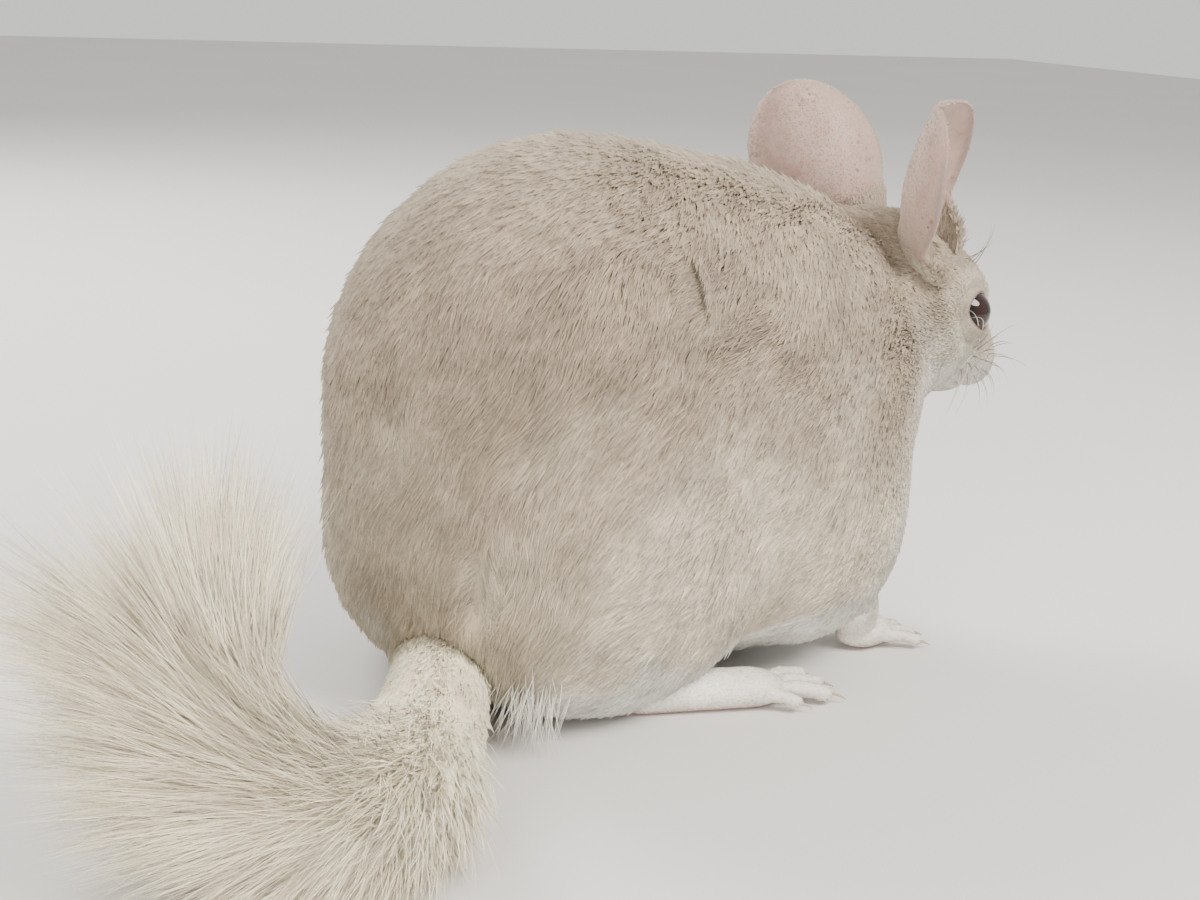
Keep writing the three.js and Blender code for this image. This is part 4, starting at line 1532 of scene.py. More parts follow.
class CHINCHILLA_OT_wisps(bpy.types.Operator):
    """Adds the few long hairs that stand over the coat, and the white tuft that shows beside the tail"""

    bl_idname = "chinchilla.wisps"
    bl_label = "Wisps"

    def execute(self, context):
        settings = context.scene.chinchilla_coat
        rng = np.random.default_rng(settings.seed + 5)
        rings, directions = body_skin()
        roots, normals, uv = roots_on_rings(rings, directions, lambda p: np.full(len(p), 0.045), rng)
        keep = (roots[:, 2] > 8) & (into_head(roots)[:, 1] > 14)
        roots, normals, uv = roots[keep], normals[keep], uv[keep]
        lie = unit(body_lie(roots, normals) + 0.18 * rng.standard_normal(roots.shape))
        lift = np.radians(rng.uniform(12, 28, len(roots)))[:, None]
        length = rng.uniform(8, 12, len(roots))
        away = lie * np.cos(lift) + normals * np.sin(lift)
        width = rng.uniform(0.08, 0.13, len(roots))
        colours = coat_colour(roots, normals, settings)
        self.hairs("coat_guard_hairs", roots, away, lie, length, width, colours, uv)

        centre = np.array((-51.0, 44.0, 13.0))

        def density(points):
            return 9.0 * np.exp(-((np.linalg.norm(points - centre, axis=1) / 5.0) ** 2))

        roots, normals, uv = roots_on_rings(rings, directions, density, rng)
        spread = 0.22 * rng.standard_normal(roots.shape)
        away = unit(normals * 0.9 + np.array((-0.2, 0.3, -0.5)) + spread)
        settle = unit(np.array((-0.35, 0.3, -0.85)) + 1.2 * spread)
        length = rng.uniform(13, 21, len(roots))
        white = np.array(settings.belly_colour) * rng.uniform(0.93, 1.05, (len(roots), 1))
        width = rng.uniform(0.18, 0.32, len(roots))
        self.hairs("coat_white_tuft", roots, away, settle, length, width, white, uv)
        return {"FINISHED"}

    def hairs(self, name, roots, away, settle, length, width, colours, uv):
        bend = roots + away * (length * 0.5)[:, None]
        tip = bend + settle * (length * 0.5)[:, None]
        for points in (bend, tip):
            points[:, 2] = np.maximum(points[:, 2], 0.6)
        t = np.array((0.0, 0.35, 0.7, 1.0))[None, :, None]
        paths = (1 - t) ** 2 * roots[:, None] + 2 * t * (1 - t) * bend[:, None] + t * t * tip[:, None]
        points, faces, steps = strands(paths, width)
        # painted shade: each hair is darker at its root in the coat, and a little lighter at its tip
        tints = (colours[:, None] * lerp(0.9, 1.06, steps)[None, :, None]).reshape(-1, 3)
        uv = tuft_layout(placed_in_layout("body", uv), faces, strand_corners(steps))
        piece = solid_piece(name, points, faces, coat_material(), colours=np.clip(tints, 0, 0.95), uv=uv)
        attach(piece, "root")


class CHINCHILLA_OT_leg_coat(bpy.types.Operator):
    """Grows the short hair of the forelegs, paws and hind feet"""

    bl_idname = "chinchilla.leg_coat"
    bl_label = "Leg Coat"

    def execute(self, context):
        settings = context.scene.chinchilla_coat
        rng = np.random.default_rng(settings.seed + 1)
        share = 1.0
        for name, (vertices, faces, start, end) in limbs().items():
            fore = name.startswith("fore")
            roots, normals = roots_on_faces(vertices, faces, lambda p: np.full(len(p), 4.7 * share), rng)
            keep = ~inside_body(roots, 0.5) & (normals[:, 2] > -0.65) & (roots[:, 2] > 1.0)
            roots, normals = roots[keep], normals[keep]
            high_up = 1 - smoothstep(flesh(roots) + coat_depth(roots), 0.5, 9)
            if fore:
                normals = unit(lerp(normals, outward(roots), (0.6 * high_up)[:, None]))
            axis = unit(end - start)
            if fore:
                low = smoothstep(-roots[:, 2], -22, -7)[:, None]
                flow = lerp(np.array((0, 0.1, -1.0)), np.array((0, -1.0, -0.25)), low)
            else:
                flow = np.broadcast_to(axis + (0, 0, -0.3), roots.shape)
            lie = across_surface(flow + 0.16 * rng.standard_normal(roots.shape), normals)
            high = smoothstep(roots[:, 2], 6, 26) if fore else smoothstep(roots[:, 2], 9, 24)
            length = lerp(1.15, 5.6, high) * rng.uniform(0.75, 1.2, len(roots))
            width = np.clip(length * 0.15, 0.2, 0.75)
            lift = np.radians(lerp(8, 17, high)) * (1 + 0.25 * rng.standard_normal(len(roots)))
            lift = np.clip(lift, 0.06, 0.6)
            colours = coat_colour(roots, normals * (1, 1, 0.4), settings)
            pale = lerp(np.array(settings.flank_colour), np.array(settings.belly_colour), 0.55)
            colours = lerp(pale, colours, np.maximum(0.65 * high, high_up)[:, None])
            uv = limb_layout(name, roots, start, end)
            add_coat(f"coat_{name}", roots, normals, uv, lie, length, width, lift, colours, rng)
        return {"FINISHED"}


class CHINCHILLA_OT_tail(bpy.types.Operator):
    """Grows the tail's short hair and the long hair of its brush"""

    bl_idname = "chinchilla.tail"
    bl_label = "Tail"

    def execute(self, context):
        settings = context.scene.chinchilla_coat
        brush = context.scene.chinchilla_brush
        rng = np.random.default_rng(settings.seed + 2)
        share = 1.0
        self.tail_coat(settings, rng, share)
        self.brush(settings, brush, rng, share)
        return {"FINISHED"}

    def tail_coat(self, settings, rng, share):
        rings, directions = tail_skin()
        roots, normals, uv = roots_on_rings(rings, directions, lambda p: np.full(len(p), 5.2 * share), rng)
        along, _ = nearest_on_tail(roots)
        keep = ~inside_body(roots, 0.5) & (along < 0.80) & (roots[:, 2] > 1.05)
        roots, normals, uv, along = roots[keep], normals[keep], uv[keep], along[keep]
        _, forward, _, _ = tail_frame(along)
        lie = across_surface(forward + 0.13 * rng.standard_normal(roots.shape), normals)
        growth = smoothstep(along, 0.25, BRUSH_START + 0.1)
        length = lerp(8.0, 21.0, growth) * rng.uniform(0.75, 1.2, len(roots))
        width = np.clip(lerp(0.06, 0.032, growth) * length, 0.34, 0.75)
        lift = np.radians(lerp(13, 17, growth)) * (1 + 0.2 * rng.standard_normal(len(roots)))
        lift = np.clip(lift, 0.08, 0.85)
        colours = coat_colour(roots, normals, settings)
        centres, marks = clump_centres(roots, 4.5, 7.0)
        add_coat(
            "coat_tail",
            roots,
            normals,
            placed_in_layout("tail", uv),
            lie,
            length,
            width,
            lift,
            colours,
            rng,
            (centres, 0.14 * rng.random(len(roots))),
            marks,
            slot="pale_coat",
            # painted shade at each tuft's root, lighter than on the trunk, and a lighter tip
            root=0.9,
            tip=1.12,
        )

    def brush(self, settings, brush, rng, share):
        count = int(brush.hairs * share)
        place = rng.beta(1.5, 0.95, count)  # share along the brush
        along = lerp(0.42, 1.0, place)
        centres, forward, side, up = tail_frame(along)
        b = np.clip((along - BRUSH_START) / (1 - BRUSH_START), 0, 1)
        turn = rng.uniform(0, 2 * math.pi, count)
        outward_now = side * np.cos(turn)[:, None] + up * np.sin(turn)[:, None]
        radius = tail_radius(along) * 0.8
        roots = centres + outward_now * radius[:, None]
        lean = np.radians(lerp(31, 24, b)) * (1 + 0.30 * rng.standard_normal(count))
        spread = np.radians(lerp(16, 44, b)) * (1 + 0.34 * rng.standard_normal(count))
        at_end = smoothstep(place, 0.9, 1.0)
        lean = lean * (1 - 0.55 * at_end * rng.random(count))
        spread = spread * (1 - 0.6 * at_end * rng.random(count))

        def towards(angle):
            return forward * np.cos(angle)[:, None] + outward_now * np.sin(angle)[:, None]

        early = smoothstep(along, 0.42, BRUSH_START)
        length = brush.length / MM * lerp(0.42, lerp(0.6, 1.0, b), early) * rng.uniform(0.72, 1.14, count)
        swirl = np.cross(forward, outward_now) * (0.16 * rng.standard_normal(count))[:, None]
        away = unit(towards(lean) + swirl)
        settle = unit(towards(spread) + swirl * 1.6 + (0, 0, -0.04))
        bend = roots + away * (length * 0.5)[:, None]
        tip = bend + settle * (length * 0.55)[:, None]
        centres_now, marks = clump_centres(tip, 9.0, 12.0)
        tip = lerp(tip, centres_now, (0.30 * rng.uniform(0.2, 1.0, count))[:, None])
        # a hair that would stray far past the tail's own reach is shorter
        lowest, highest = (np.array(corner) / MM for corner in CAD_BOX)
        beyond = np.maximum(lowest - 2 - tip, tip - highest - 2).max(1)
        cut = np.clip(beyond + rng.uniform(0, 3, count), 0, None) * (beyond > 0)
        kept = 1 - cut / np.linalg.norm(tip - roots, axis=1)
        bend, tip = lerp(roots, bend, kept[:, None]), lerp(roots, tip, kept[:, None])
        for points in (roots, bend, tip):
            points[:, 2] = np.maximum(points[:, 2], 0.6)
        t = np.array((0.0, 0.36, 0.7, 1.0))[None, :, None]
        paths = (1 - t) ** 2 * roots[:, None] + 2 * t * (1 - t) * bend[:, None] + t * t * tip[:, None]
        wave = 0.9 * np.sin(5 * t) * rng.standard_normal((count, 1, 3))
        paths = paths + wave * t
        width = brush.width / MM * rng.uniform(0.7, 1.3, count)
        cream = np.array(settings.tail_colour)
        grey = np.array(settings.back_colour) * 0.85
        greyness = 0.24 + 0.32 * rng.standard_normal(count) + 0.3 * (marks - 0.5)
        tint = lerp(cream, grey, np.clip(greyness, 0, 1)[:, None])
        uv_root = placed_in_layout("tail", np.stack((turn / (2 * math.pi), along), 1))
        inner = place < np.median(place)
        for half, name in ((inner, "brush_inner"), (~inner, "brush_outer")):
            points, faces, steps = strands(paths[half], width[half])
            # painted shade: each hair is darker towards its root inside the brush, and lighter at its tip
            tone = lerp(0.66, 1.18, steps**0.7)
            colours = np.clip(tint[half][:, None] * tone[None, :, None], 0, 0.95).reshape(-1, 3)
            ring_centre = np.repeat(paths[half][:, :1], len(steps), 1).reshape(-1, 3)
            outward_there = outward_now[half].repeat(len(steps), 0)
            soft = unit(points - ring_centre) * 0.2 + outward_there * 0.5 + (0, 0, 0.45)
            soft = soft[faces.ravel()]
            piece = solid_piece(
                name,
                points,
                faces,
                coat_material(),
                normals=soft,
                colours=colours,
                uv=tuft_layout(uv_root[half], faces, strand_corners(steps)),
            )
            if name == "brush_outer":
                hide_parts("tail_brush")
            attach(piece, "root")


# A lid from its edge into the fur and back: degrees beyond the edge, share of the eye's radius, bareness
LID_PROFILE = np.array(
    (
        (0.0, 0.988, 1.0),
        (0.2, 1.02, 1.0),
        (1.6, 1.05, 0.9),
        (4.0, 1.07, 0.35),
        (8.0, 1.06, 0.05),
        (14.0, 1.03, 0.0),
        (22.0, 0.98, 0.0),
        (32.0, 0.90, 0.0),
        (20.0, 0.86, 0.0),
        (4.0, 0.95, 1.0),
    )
)


class CHINCHILLA_OT_eyes(bpy.types.Operator):
    """Builds the eyeballs and the lids that close round them"""

    bl_idname = "chinchilla.eyes"
    bl_label = "Eyes"

    def execute(self, context):
        balls, lids, iris, edges, tints = [], [], [], [], []
        settings = context.scene.chinchilla_coat
        for side in (1, -1):
            centre, look = eye_centre(side), gaze(side)
            vertices, faces = ball(centre, np.full(3, EYE_RADIUS * 0.985), 64, 44)
            offset = unit(vertices - centre)
            across = across_surface(np.array((0, -1.0, 0.0)), look)
            up = np.cross(look, across) * side
            height, breadth = offset @ up, offset @ across
            cornea = np.clip((offset @ look - 0.72) / 0.28, 0, 1)
            vertices = vertices + look * (cornea**1.2)[:, None] * 0.45
            facing = offset @ look > 0
            ring = np.hypot(breadth, height)
            pupil = smoothstep(np.hypot(breadth / 0.27, height / 0.40), 0.85, 1.1)
            edge = 1 - smoothstep(ring, 0.62, 0.75)
            iris.append(pupil * edge * facing)
            balls.append((vertices, faces))

            # the lids: a rim close to the ball that rolls over and runs down into the fur
            turn = np.arange(96) / 96 * 2 * math.pi
            corner = np.cos(turn)
            open_angle = np.radians(53 - 10.5 * np.abs(np.sin(turn)) ** 1.4 + 4.0 * np.abs(corner) ** 6)
            angle = open_angle[None] + np.radians(LID_PROFILE[:, :1])
            radius = EYE_RADIUS * np.broadcast_to(LID_PROFILE[:, 1:2], angle.shape)
            radius = radius * (1 + 0.018 * np.cos(angle * 9) * (np.sin(turn) > 0))
            flat = across * np.cos(turn)[:, None] + up * np.sin(turn)[:, None]
            outwards = look * np.cos(angle)[..., None] + flat[None] * np.sin(angle)[..., None]
            points = centre + outwards * radius[..., None]
            count, around = points.shape[:2]
            i = np.arange(around)
            j = (i + 1) % around
            faces = []
            for ring_index in range(count):
                low, high = ring_index * around, (ring_index + 1) % count * around
                faces.append(np.stack((low + i, low + j, high + j), 1))
                faces.append(np.stack((low + i, high + j, high + i), 1))
            points = points.reshape(-1, 3)
            lids.append((points, facing_outwards(points, np.vstack(faces))))
            edges.append(np.repeat(LID_PROFILE[:, 2], around))
            normals = unit(points - centre)
            # painted shade: the lids' fur colour is darkened to 0.72, as if under the lid hair
            tints.append(coat_colour(points, normals, settings) * 0.72)
        vertices, faces = joined(balls)
        eyes = solid_piece("eyes", vertices, faces, eye_material(), values={"iris": np.concatenate(iris)})
        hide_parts("eye_left", "eye_right")
        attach(eyes, "root")
        vertices, faces = joined(lids)
        piece = solid_piece(
            "eyelids",
            vertices,
            faces,
            lid_material(),
            colours=np.vstack(tints),
            values={"rim": np.concatenate(edges)},
        )
        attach(piece, "root")
        self.lid_hair(settings)
        return {"FINISHED"}

    def lid_hair(self, settings):
        """Very short hair that covers the lids, away from their bare rims."""
        rng = np.random.default_rng(77)
        roots, normals, lies, lengths = [], [], [], []
        for side in (1, -1):
            centre, look = eye_centre(side), gaze(side)
            across = across_surface(np.array((0, -1.0, 0.0)), look)
            up = np.cross(look, across) * side
            count = 2800
            turn = rng.uniform(0, 2 * math.pi, count)
            back = rng.uniform(3.5, 38, count)
            angle = np.radians(53 - 10.5 * np.abs(np.sin(turn)) ** 1.4 + back)
            flat = across * np.cos(turn)[:, None] + up * np.sin(turn)[:, None]
            outwards = look * np.cos(angle)[:, None] + flat * np.sin(angle)[:, None]
            roots.append(centre + outwards * EYE_RADIUS * lerp(1.03, 1.0, smoothstep(back, 8, 38))[:, None])
            normals.append(outwards)
            lies.append(flat + np.array((0, 0.9, 0)))
            lengths.append(lerp(1.2, 3.2, smoothstep(back, 6, 30)) * rng.uniform(0.8, 1.2, count))
        roots, normals, lies = np.vstack(roots), np.vstack(normals), np.vstack(lies)
        lie = across_surface(lies + 0.2 * rng.standard_normal(roots.shape), normals)
        count = len(roots)
        length = np.concatenate(lengths)
        colours = coat_colour(roots, normals, settings)
        local = into_head(roots)
        round_head = np.arctan2(local[:, 2], local[:, 0]) / (2 * math.pi) + 0.5
        along_head = np.clip(0.8 - local[:, 1] / 300, 0, 1)
        uv = placed_in_layout("body", np.stack((round_head, along_head), 1))
        lift = np.radians(rng.uniform(8, 20, count))
        add_coat("coat_lids", roots, normals, uv, lie, length, length * 0.14, lift, colours, rng)


@lru_cache(maxsize=None)
def lid_material():
    """Lids: fine short hair outside and a bare brownish pink rim."""
    material, nodes, links, shader = new_material("Eyelid")
    place = nodes.new("ShaderNodeTexCoord").outputs["Object"]
    rim = attribute(nodes, "rim", "Fac")
    nap = noise(nodes, links, place, 1700, 3, 0.7)
    shade = ranged(nodes, links, nap, 0.25, 0.75, 0.75, 1.1)
    fur = scaled_colour(nodes, links, attribute(nodes, "coat_colour"), shade)
    soft = ranged(nodes, links, noise(nodes, links, place, 600, 2), 0.3, 0.7, 0.0, 1.0)
    bare = mixed_colour(nodes, links, (0.085, 0.048, 0.04), (0.15, 0.09, 0.075), soft)
    links.new(mixed_colour(nodes, links, fur, bare, rim), shader.inputs["Base Color"])
    links.new(ranged(nodes, links, rim, 0, 1, 0.8, 0.35), shader.inputs["Roughness"])
    set_inputs(shader, Specular_IOR_Level=0.4)
    add_bump(nodes, links, shader, nap, 0.4, 0.0002)
    return material


class CHINCHILLA_OT_ears(bpy.types.Operator):
    """Builds the large thin ears and the fine down on them"""

    bl_idname = "chinchilla.ears"
    bl_label = "Ears"

    def execute(self, context):
        settings = context.scene.chinchilla_coat
        rng = np.random.default_rng(settings.seed + 4)
        for side, word in ((1, "left"), (-1, "right")):
            rings, v = ear_shape(side)
            vertices, faces = closed_rings(rings)
            along = np.linspace(-1, 1, EAR_COLUMNS)
            along = np.concatenate((along, along[::-1]))
            rim = smoothstep(np.abs(along), 0.86, 1.0)[None] * smoothstep(v, 0.2, 0.5)[:, None]
            rim = np.maximum(rim, smoothstep(v, 0.93, 1.0)[:, None])
            outer = np.arange(2 * EAR_COLUMNS) < EAR_COLUMNS
            rim = np.maximum(rim, np.where(outer, 0.35, 0.0)[None])
            rim = np.concatenate((rim[:1, 0], rim[1:-1].ravel(), rim[-1:, 0]))
            ear = solid_piece(f"ear_{word}_skin", vertices, faces, ear_material(), values={"rim": rim})
            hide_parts(f"ear_{word}")
            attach(ear, "root")
            self.down(settings, side, word, rng, rings)
        return {"FINISHED"}

    def down(self, settings, side, word, rng, rings):
        """Fine down: thick at the ear's root and along its front edge, thin on its back."""
        base, rise, _, facing = ear_frame(side)
        across = np.roll(rings, -1, 1) - np.roll(rings, 1, 1)
        normals = unit(np.cross(across, np.gradient(rings, axis=0)))
        if normals[EAR_RINGS // 2, EAR_COLUMNS // 2] @ -facing < 0:
            normals = -normals

        def density(points):
            high = ((points - base) @ rise) / EAR_LENGTH
            return 1.2 + 3.2 * (1 - smoothstep(high, 0.0, 0.22))

        roots, direction, uv = roots_on_rings(rings, normals, density, rng)
        column = uv[:, 0] * 2 * EAR_COLUMNS
        on_outer = column < EAR_COLUMNS - 0.5
        high = ((roots - base) @ rise) / EAR_LENGTH
        edge = np.minimum(column % EAR_COLUMNS, EAR_COLUMNS - column % EAR_COLUMNS) < 4
        inner_share = 1 - smoothstep(high, 0.0, 0.20)
        keep = ~inside_body(roots, 0.8) & (on_outer | edge | (rng.random(len(roots)) < inner_share))
        keep &= np.isfinite(direction).all(1) & (uv[:, 1] < 0.985) & (uv[:, 1] > 0.02)
        roots, direction, uv, high = roots[keep], direction[keep], uv[keep], high[keep]
        lie = across_surface(rise + 0.25 * rng.standard_normal(roots.shape), direction)
        low = (1 - smoothstep(high, 0.0, 0.24)) ** 1.5
        length = lerp(0.95, 4.6, low) * rng.uniform(0.75, 1.2, len(roots))
        width = np.clip(length * 0.1, 0.11, 0.5)
        lift = np.radians(12) * (1 + 0.4 * rng.random(len(roots)))
        skin_tone = np.array((0.50, 0.385, 0.32))
        colours = lerp(skin_tone, coat_colour(roots, direction, settings), (0.35 + 0.65 * low)[:, None])
        uv = placed_in_layout(f"ear_{word}", uv)
        # painted shade: each tuft of down is darker at its root
        add_coat(f"ear_{word}_down", roots, direction, uv, lie, length, width, lift, colours, rng, root=0.8)


def node_input(tree, name, kind, default):
    socket = tree.interface.new_socket(name, in_out="INPUT", socket_type=kind)
    if default is not None:
        socket.default_value = default
    return socket


def instanced_hooks(name, sides, points_along):
    """A node tree that puts a tapered, bent shape on each point, which turns and sizes it."""
    tree = bpy.data.node_groups.new(name, "GeometryNodeTree")
    tree.interface.new_socket("Geometry", in_out="INPUT", socket_type="NodeSocketGeometry")
    sockets = {
        "Root Radius": node_input(tree, "Root Radius", "NodeSocketFloat", 0.001),
        "Bend": node_input(tree, "Bend", "NodeSocketFloat", 0.2),
        "Taper": node_input(tree, "Taper", "NodeSocketFloat", 0.95),
        "Material": node_input(tree, "Material", "NodeSocketMaterial", None),
    }
    tree.interface.new_socket("Geometry", in_out="OUTPUT", socket_type="NodeSocketGeometry")
    nodes, links = tree.nodes, tree.links
    given = nodes.new("NodeGroupInput")
    result = nodes.new("NodeGroupOutput")
    spine = nodes.new("GeometryNodeCurveQuadraticBezier")
    spine.inputs["Resolution"].default_value = points_along
    spine.inputs["Start"].default_value = (0, 0, 0)
    spine.inputs["Middle"].default_value = (0, 0, 0.55)
    end = nodes.new("ShaderNodeCombineXYZ")
    end.inputs["Z"].default_value = 1.0
    links.new(given.outputs["Bend"], end.inputs["X"])
    links.new(end.outputs["Vector"], spine.inputs["End"])
    # one straight spine is bent and thinned, then carried to every point
    factor = nodes.new("GeometryNodeSplineParameter")
    shrink = nodes.new("ShaderNodeMath")
    shrink.operation = "MULTIPLY"
    links.new(factor.outputs["Factor"], shrink.inputs[0])
    links.new(given.outputs["Taper"], shrink.inputs[1])
    left = nodes.new("ShaderNodeMath")
    left.operation = "SUBTRACT"
    left.inputs[0].default_value = 1.0
    links.new(shrink.outputs[0], left.inputs[1])
    stored = nodes.new("GeometryNodeStoreNamedAttribute")
    stored.data_type = "FLOAT"
    stored.domain = "POINT"
    stored.inputs["Name"].default_value = "thinness"
    links.new(spine.outputs[0], stored.inputs["Geometry"])
    links.new(left.outputs[0], stored.inputs["Value"])
    carried = nodes.new("GeometryNodeInstanceOnPoints")

    def named(word, kind):
        node = nodes.new("GeometryNodeInputNamedAttribute")
        node.data_type = kind
        node.inputs["Name"].default_value = word
        return node.outputs["Attribute"]

    turned = nodes.new("FunctionNodeAxesToRotation")
    turned.primary_axis = "Z"
    turned.secondary_axis = "X"
    links.new(named("aim", "FLOAT_VECTOR"), turned.inputs["Primary Axis"])
    links.new(named("bow", "FLOAT_VECTOR"), turned.inputs["Secondary Axis"])
    links.new(given.outputs["Geometry"], carried.inputs["Points"])
    links.new(stored.outputs["Geometry"], carried.inputs["Instance"])
    links.new(turned.outputs["Rotation"], carried.inputs["Rotation"])
    links.new(named("reach", "FLOAT"), carried.inputs["Scale"])
    realized = nodes.new("GeometryNodeRealizeInstances")
    links.new(carried.outputs["Instances"], realized.inputs["Geometry"])
    profile = nodes.new("GeometryNodeCurvePrimitiveCircle")
    profile.inputs["Resolution"].default_value = sides
    links.new(given.outputs["Root Radius"], profile.inputs["Radius"])
    thin = named("thinness", "FLOAT")
    radius = nodes.new("GeometryNodeSetCurveRadius")
    links.new(realized.outputs["Geometry"], radius.inputs["Curve"])
    links.new(thin, radius.inputs["Radius"])
    tube = nodes.new("GeometryNodeCurveToMesh")
    tube.inputs["Fill Caps"].default_value = True
    links.new(radius.outputs["Curve"], tube.inputs["Curve"])
    links.new(profile.outputs["Curve"], tube.inputs["Profile Curve"])
    links.new(thin, tube.inputs["Scale"])
    again = nodes.new("GeometryNodeRealizeInstances")
    links.new(tube.outputs["Mesh"], again.inputs["Geometry"])
    finish = nodes.new("GeometryNodeSetMaterial")
    links.new(again.outputs["Geometry"], finish.inputs["Geometry"])
    links.new(given.outputs["Material"], finish.inputs["Material"])
    links.new(finish.outputs["Geometry"], result.inputs["Geometry"])
    return tree, {name: socket.identifier for name, socket in sockets.items()}


def repeated_piece(name, tree_and_sockets, roots, aims, bows, reaches, material, **inputs):
    """A plain mesh made by a node tree on scattered points, in metres."""
    tree, sockets = tree_and_sockets
    mesh = bpy.data.meshes.new(name)
    mesh.from_pydata((np.asarray(roots) * MM).tolist(), [], [])
    for word, vectors in (("aim", aims), ("bow", bows)):
        layer = mesh.attributes.new(word, "FLOAT_VECTOR", "POINT")
        layer.data.foreach_set("vector", np.asarray(vectors, np.float32).ravel())
    layer = mesh.attributes.new("reach", "FLOAT", "POINT")
    layer.data.foreach_set("value", np.asarray(reaches, np.float32) * MM)
    carrier = bpy.data.objects.new(name + "_points", mesh)
    bpy.context.scene.collection.objects.link(carrier)
    modifier = carrier.modifiers.new("Repeat", "NODES")
    modifier.node_group = tree
    for word, value in inputs.items():
        modifier[sockets[word.replace("_", " ")]] = value
    modifier[sockets["Material"]] = material
    done = bpy.data.meshes.new_from_object(carrier.evaluated_get(bpy.context.evaluated_depsgraph_get()))
    bpy.data.objects.remove(carrier)
    if len(done.polygons) == 0:
        raise RuntimeError(f"{name}: the node tree made nothing")
    for word in ("aim", "bow", "reach", "thinness"):
        if word in done.attributes:
            done.attributes.remove(done.attributes[word])
    done.name = name
    done.polygons.foreach_set("use_smooth", np.ones(len(done.polygons), bool))
    if not done.materials:
        done.materials.append(material)
    piece = bpy.data.objects.new(name, done)
    bpy.context.scene.collection.objects.link(piece)
    return piece


class CHINCHILLA_OT_whiskers(bpy.types.Operator):
    """Grows the whiskers of the muzzle and the few over the eyes"""

    bl_idname = "chinchilla.whiskers"
    bl_label = "Whiskers"

    def execute(self, context):
        settings = context.scene.chinchilla_face
        rng = np.random.default_rng(5)
        roots, aims, bows, reaches = [], [], [], []
        rows = 5
        for side in (1, -1):
            for i in range(settings.whiskers):
                row, column = i % rows, i // rows
                y = -0.43 + 0.045 * column + 0.008 * row
                z = -0.045 - 0.032 * row
                start = from_head(in_head(0, y, z))
                ray = HEAD_TURN @ unit(np.array((side * 1.0, -0.25, 0.0)))
                reach = 0.5
                while flesh((start + ray * reach)[None])[0] < -0.5:
                    reach += 0.3
                roots.append(start + ray * reach)
                back = lerp(0.25, 1.05, column / 5) + rng.uniform(-0.12, 0.12)
                rise = lerp(0.42, -0.38, row / (rows - 1)) + rng.uniform(-0.08, 0.08)
                aims.append(unit(HEAD_TURN @ np.array((side * 1.0, back, rise))))
                bows.append(unit(np.array((0, 0.8, -0.6 + rng.uniform(-0.2, 0.2)))))
                long = settings.whisker_length / MM * lerp(0.42, 1.0, smoothstep(column, 0, 4))
                reaches.append(long * lerp(1.0, 0.72, abs(row - 1.5) / 3) * rng.uniform(0.82, 1.05))
            for i in range(4):
                start = from_head(in_head(side * (0.19 + 0.012 * i), -0.17 + 0.03 * i, 0.17))
                ray = unit(np.array((side * 0.35, -0.2, 0.9)))
                reach = -4.0
                while flesh((start + ray * reach)[None])[0] < -0.5 and reach < 12:
                    reach += 0.3
                roots.append(start + ray * reach)
                aims.append(unit(np.array((side * (0.75 + 0.1 * i), 0.15, 0.75 - 0.1 * i))))
                bows.append(np.array((0, 1.0, 0.1)))
                reaches.append(rng.uniform(16, 26))
        whiskers = repeated_piece(
            "whiskers",
            instanced_hooks("Whiskers", 5, 9),
            roots,
            aims,
            bows,
            reaches,
            whisker_material(),
            Root_Radius=settings.whisker_radius,
            Bend=0.28,
            Taper=0.9,
        )
        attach(whiskers, "root")
        return {"FINISHED"}


class CHINCHILLA_OT_claws(bpy.types.Operator):
    """Puts a small curved claw on every finger and toe"""

    bl_idname = "chinchilla.claws"
    bl_label = "Claws"

    def execute(self, context):
        roots, aims, bows, reaches = [], [], [], []
        for side in (1, -1):
            for found in (fingers(side)[1], toes(side)[4]):
                for root, tip, radius in found:
                    forward = unit((tip - root) * (1, 1, 0))
                    roots.append(tip - forward * radius * 0.9 + np.array((0, 0, radius * 0.35)))
                    aims.append(unit(forward + np.array((0, 0, 0.12))))
                    bows.append(np.array((0, 0, -1.0)))
                    reaches.append(radius * 2.25)
        claws = repeated_piece(
            "claws",
            instanced_hooks("Claws", 8, 8),
            roots,
            aims,
            bows,
            reaches,
            horn_material(),
            Root_Radius=0.00075,
            Bend=0.42,
            Taper=0.86,
        )
        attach(claws, "root")
        return {"FINISHED"}


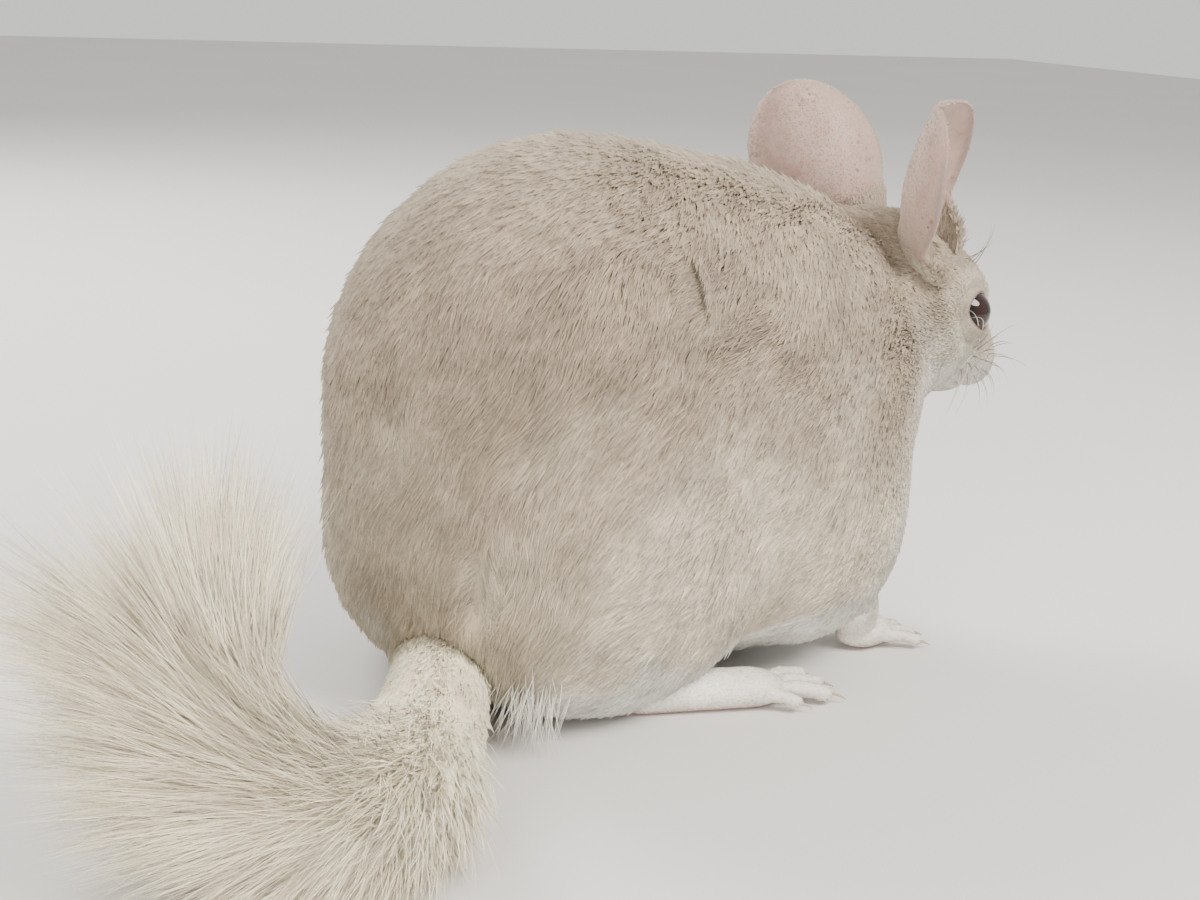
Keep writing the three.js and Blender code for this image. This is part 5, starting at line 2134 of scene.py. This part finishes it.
class CHINCHILLA_OT_stage(bpy.types.Operator):
    """Sets a plain pale floor, soft lights and the camera"""

    bl_idname = "chinchilla.stage"
    bl_label = "Stage"

    def execute(self, context):
        settings = context.scene.chinchilla_stage
        size = 3.0
        corners = [(-size, -size, 0), (size, -size, 0), (size, size, 0), (-size, size, 0)]
        mesh = bpy.data.meshes.new("floor")
        mesh.from_pydata(corners, [], [(0, 1, 2, 3)])
        floor = bpy.data.objects.new("floor", mesh)
        context.scene.collection.objects.link(floor)
        material, nodes, links, shader = new_material("Studio floor")
        place = nodes.new("ShaderNodeTexCoord").outputs["Object"]
        darker, lighter = (tuple(share * c for c in settings.floor_colour) for share in (0.98, 1.02))
        tone = ranged(nodes, links, noise(nodes, links, place, 3, 2), 0.3, 0.7, 0.0, 1.0)
        base = mixed_colour(nodes, links, darker, lighter, tone)
        links.new(base, shader.inputs["Base Color"])
        set_inputs(shader, Roughness=0.7, Specular_IOR_Level=0.2)
        mesh.materials.append(material)

        world = bpy.data.worlds.new("Studio")
        world.use_nodes = True
        backdrop = world.node_tree.nodes["Background"]
        backdrop.inputs["Color"].default_value = (0.95, 0.94, 0.92, 1)
        backdrop.inputs["Strength"].default_value = 0.95
        context.scene.world = world

        def light(name, place, target, width, power, colour):
            lamp = bpy.data.lights.new(name, "AREA")
            lamp.shape = "DISK"
            lamp.size = width
            lamp.energy = power
            lamp.color = colour
            thing = bpy.data.objects.new(name, lamp)
            thing.location = place
            aim = Vector(target) - Vector(place)
            thing.rotation_euler = aim.to_track_quat("-Z", "Y").to_euler()
            context.scene.collection.objects.link(thing)

        light("key", (-0.75, -0.35, 0.95), (0, 0, 0.08), 0.6, settings.key_power, (1.0, 0.97, 0.93))
        light("fill", (-0.75, 0.85, 0.30), (0, 0.03, 0.05), 0.9, settings.fill_power, (1.0, 0.98, 0.95))
        light("rim", (0.9, 0.2, 0.8), (0, 0, 0.09), 0.6, settings.fill_power * 1.2, (1.0, 0.98, 0.95))

        right = Vector((-0.51727, -0.85422, 0.05224))
        up = Vector((0.24783, -0.09109, 0.96451))
        forward = Vector((0.81915, -0.51186, -0.25882))
        lens = bpy.data.cameras.new("camera")
        lens.lens = 55.5
        lens.sensor_width = 36.0
        lens.clip_start = 0.01
        camera = bpy.data.objects.new("camera", lens)
        turn = Matrix((right, up, -forward)).transposed()
        camera.matrix_world = Matrix.Translation((-0.42509, 0.26127, 0.19611)) @ turn.to_4x4()
        context.scene.collection.objects.link(camera)
        context.scene.camera = camera
        return {"FINISHED"}


class CHINCHILLA_PT_panel(bpy.types.Panel):
    """Lists the steps that build the chinchilla, with its settings"""

    bl_idname = "CHINCHILLA_PT_panel"
    bl_label = "Chinchilla"
    bl_space_type = "VIEW_3D"
    bl_region_type = "UI"
    bl_category = "Chinchilla"

    def draw(self, context):
        layout = self.layout
        for operator in OPERATORS:
            layout.operator(operator.bl_idname)
        for name, group in GROUPS.items():
            box = layout.box()
            for setting in group.__annotations__:
                box.prop(getattr(context.scene, name), setting)


GROUPS = {
    "chinchilla_coat": ChinchillaCoat,
    "chinchilla_brush": ChinchillaBrush,
    "chinchilla_face": ChinchillaFace,
    "chinchilla_stage": ChinchillaStage,
}
OPERATORS = (
    CHINCHILLA_OT_stage,
    CHINCHILLA_OT_skin,
    CHINCHILLA_OT_eyes,
    CHINCHILLA_OT_ears,
    CHINCHILLA_OT_coat,
    CHINCHILLA_OT_wisps,
    CHINCHILLA_OT_leg_coat,
    CHINCHILLA_OT_tail,
    CHINCHILLA_OT_whiskers,
    CHINCHILLA_OT_claws,
)


def register():
    for thing in (*GROUPS.values(), *OPERATORS, CHINCHILLA_PT_panel):
        bpy.utils.register_class(thing)
    for name, group in GROUPS.items():
        setattr(bpy.types.Scene, name, PointerProperty(type=group))


def unregister():
    for name in GROUPS:
        delattr(bpy.types.Scene, name)
    for thing in reversed((*GROUPS.values(), *OPERATORS, CHINCHILLA_PT_panel)):
        bpy.utils.unregister_class(thing)


def main():
    register()
    for operator in OPERATORS:
        group, name = operator.bl_idname.split(".")
        getattr(getattr(bpy.ops, group), name)()


if __name__ == "__main__":
    main()
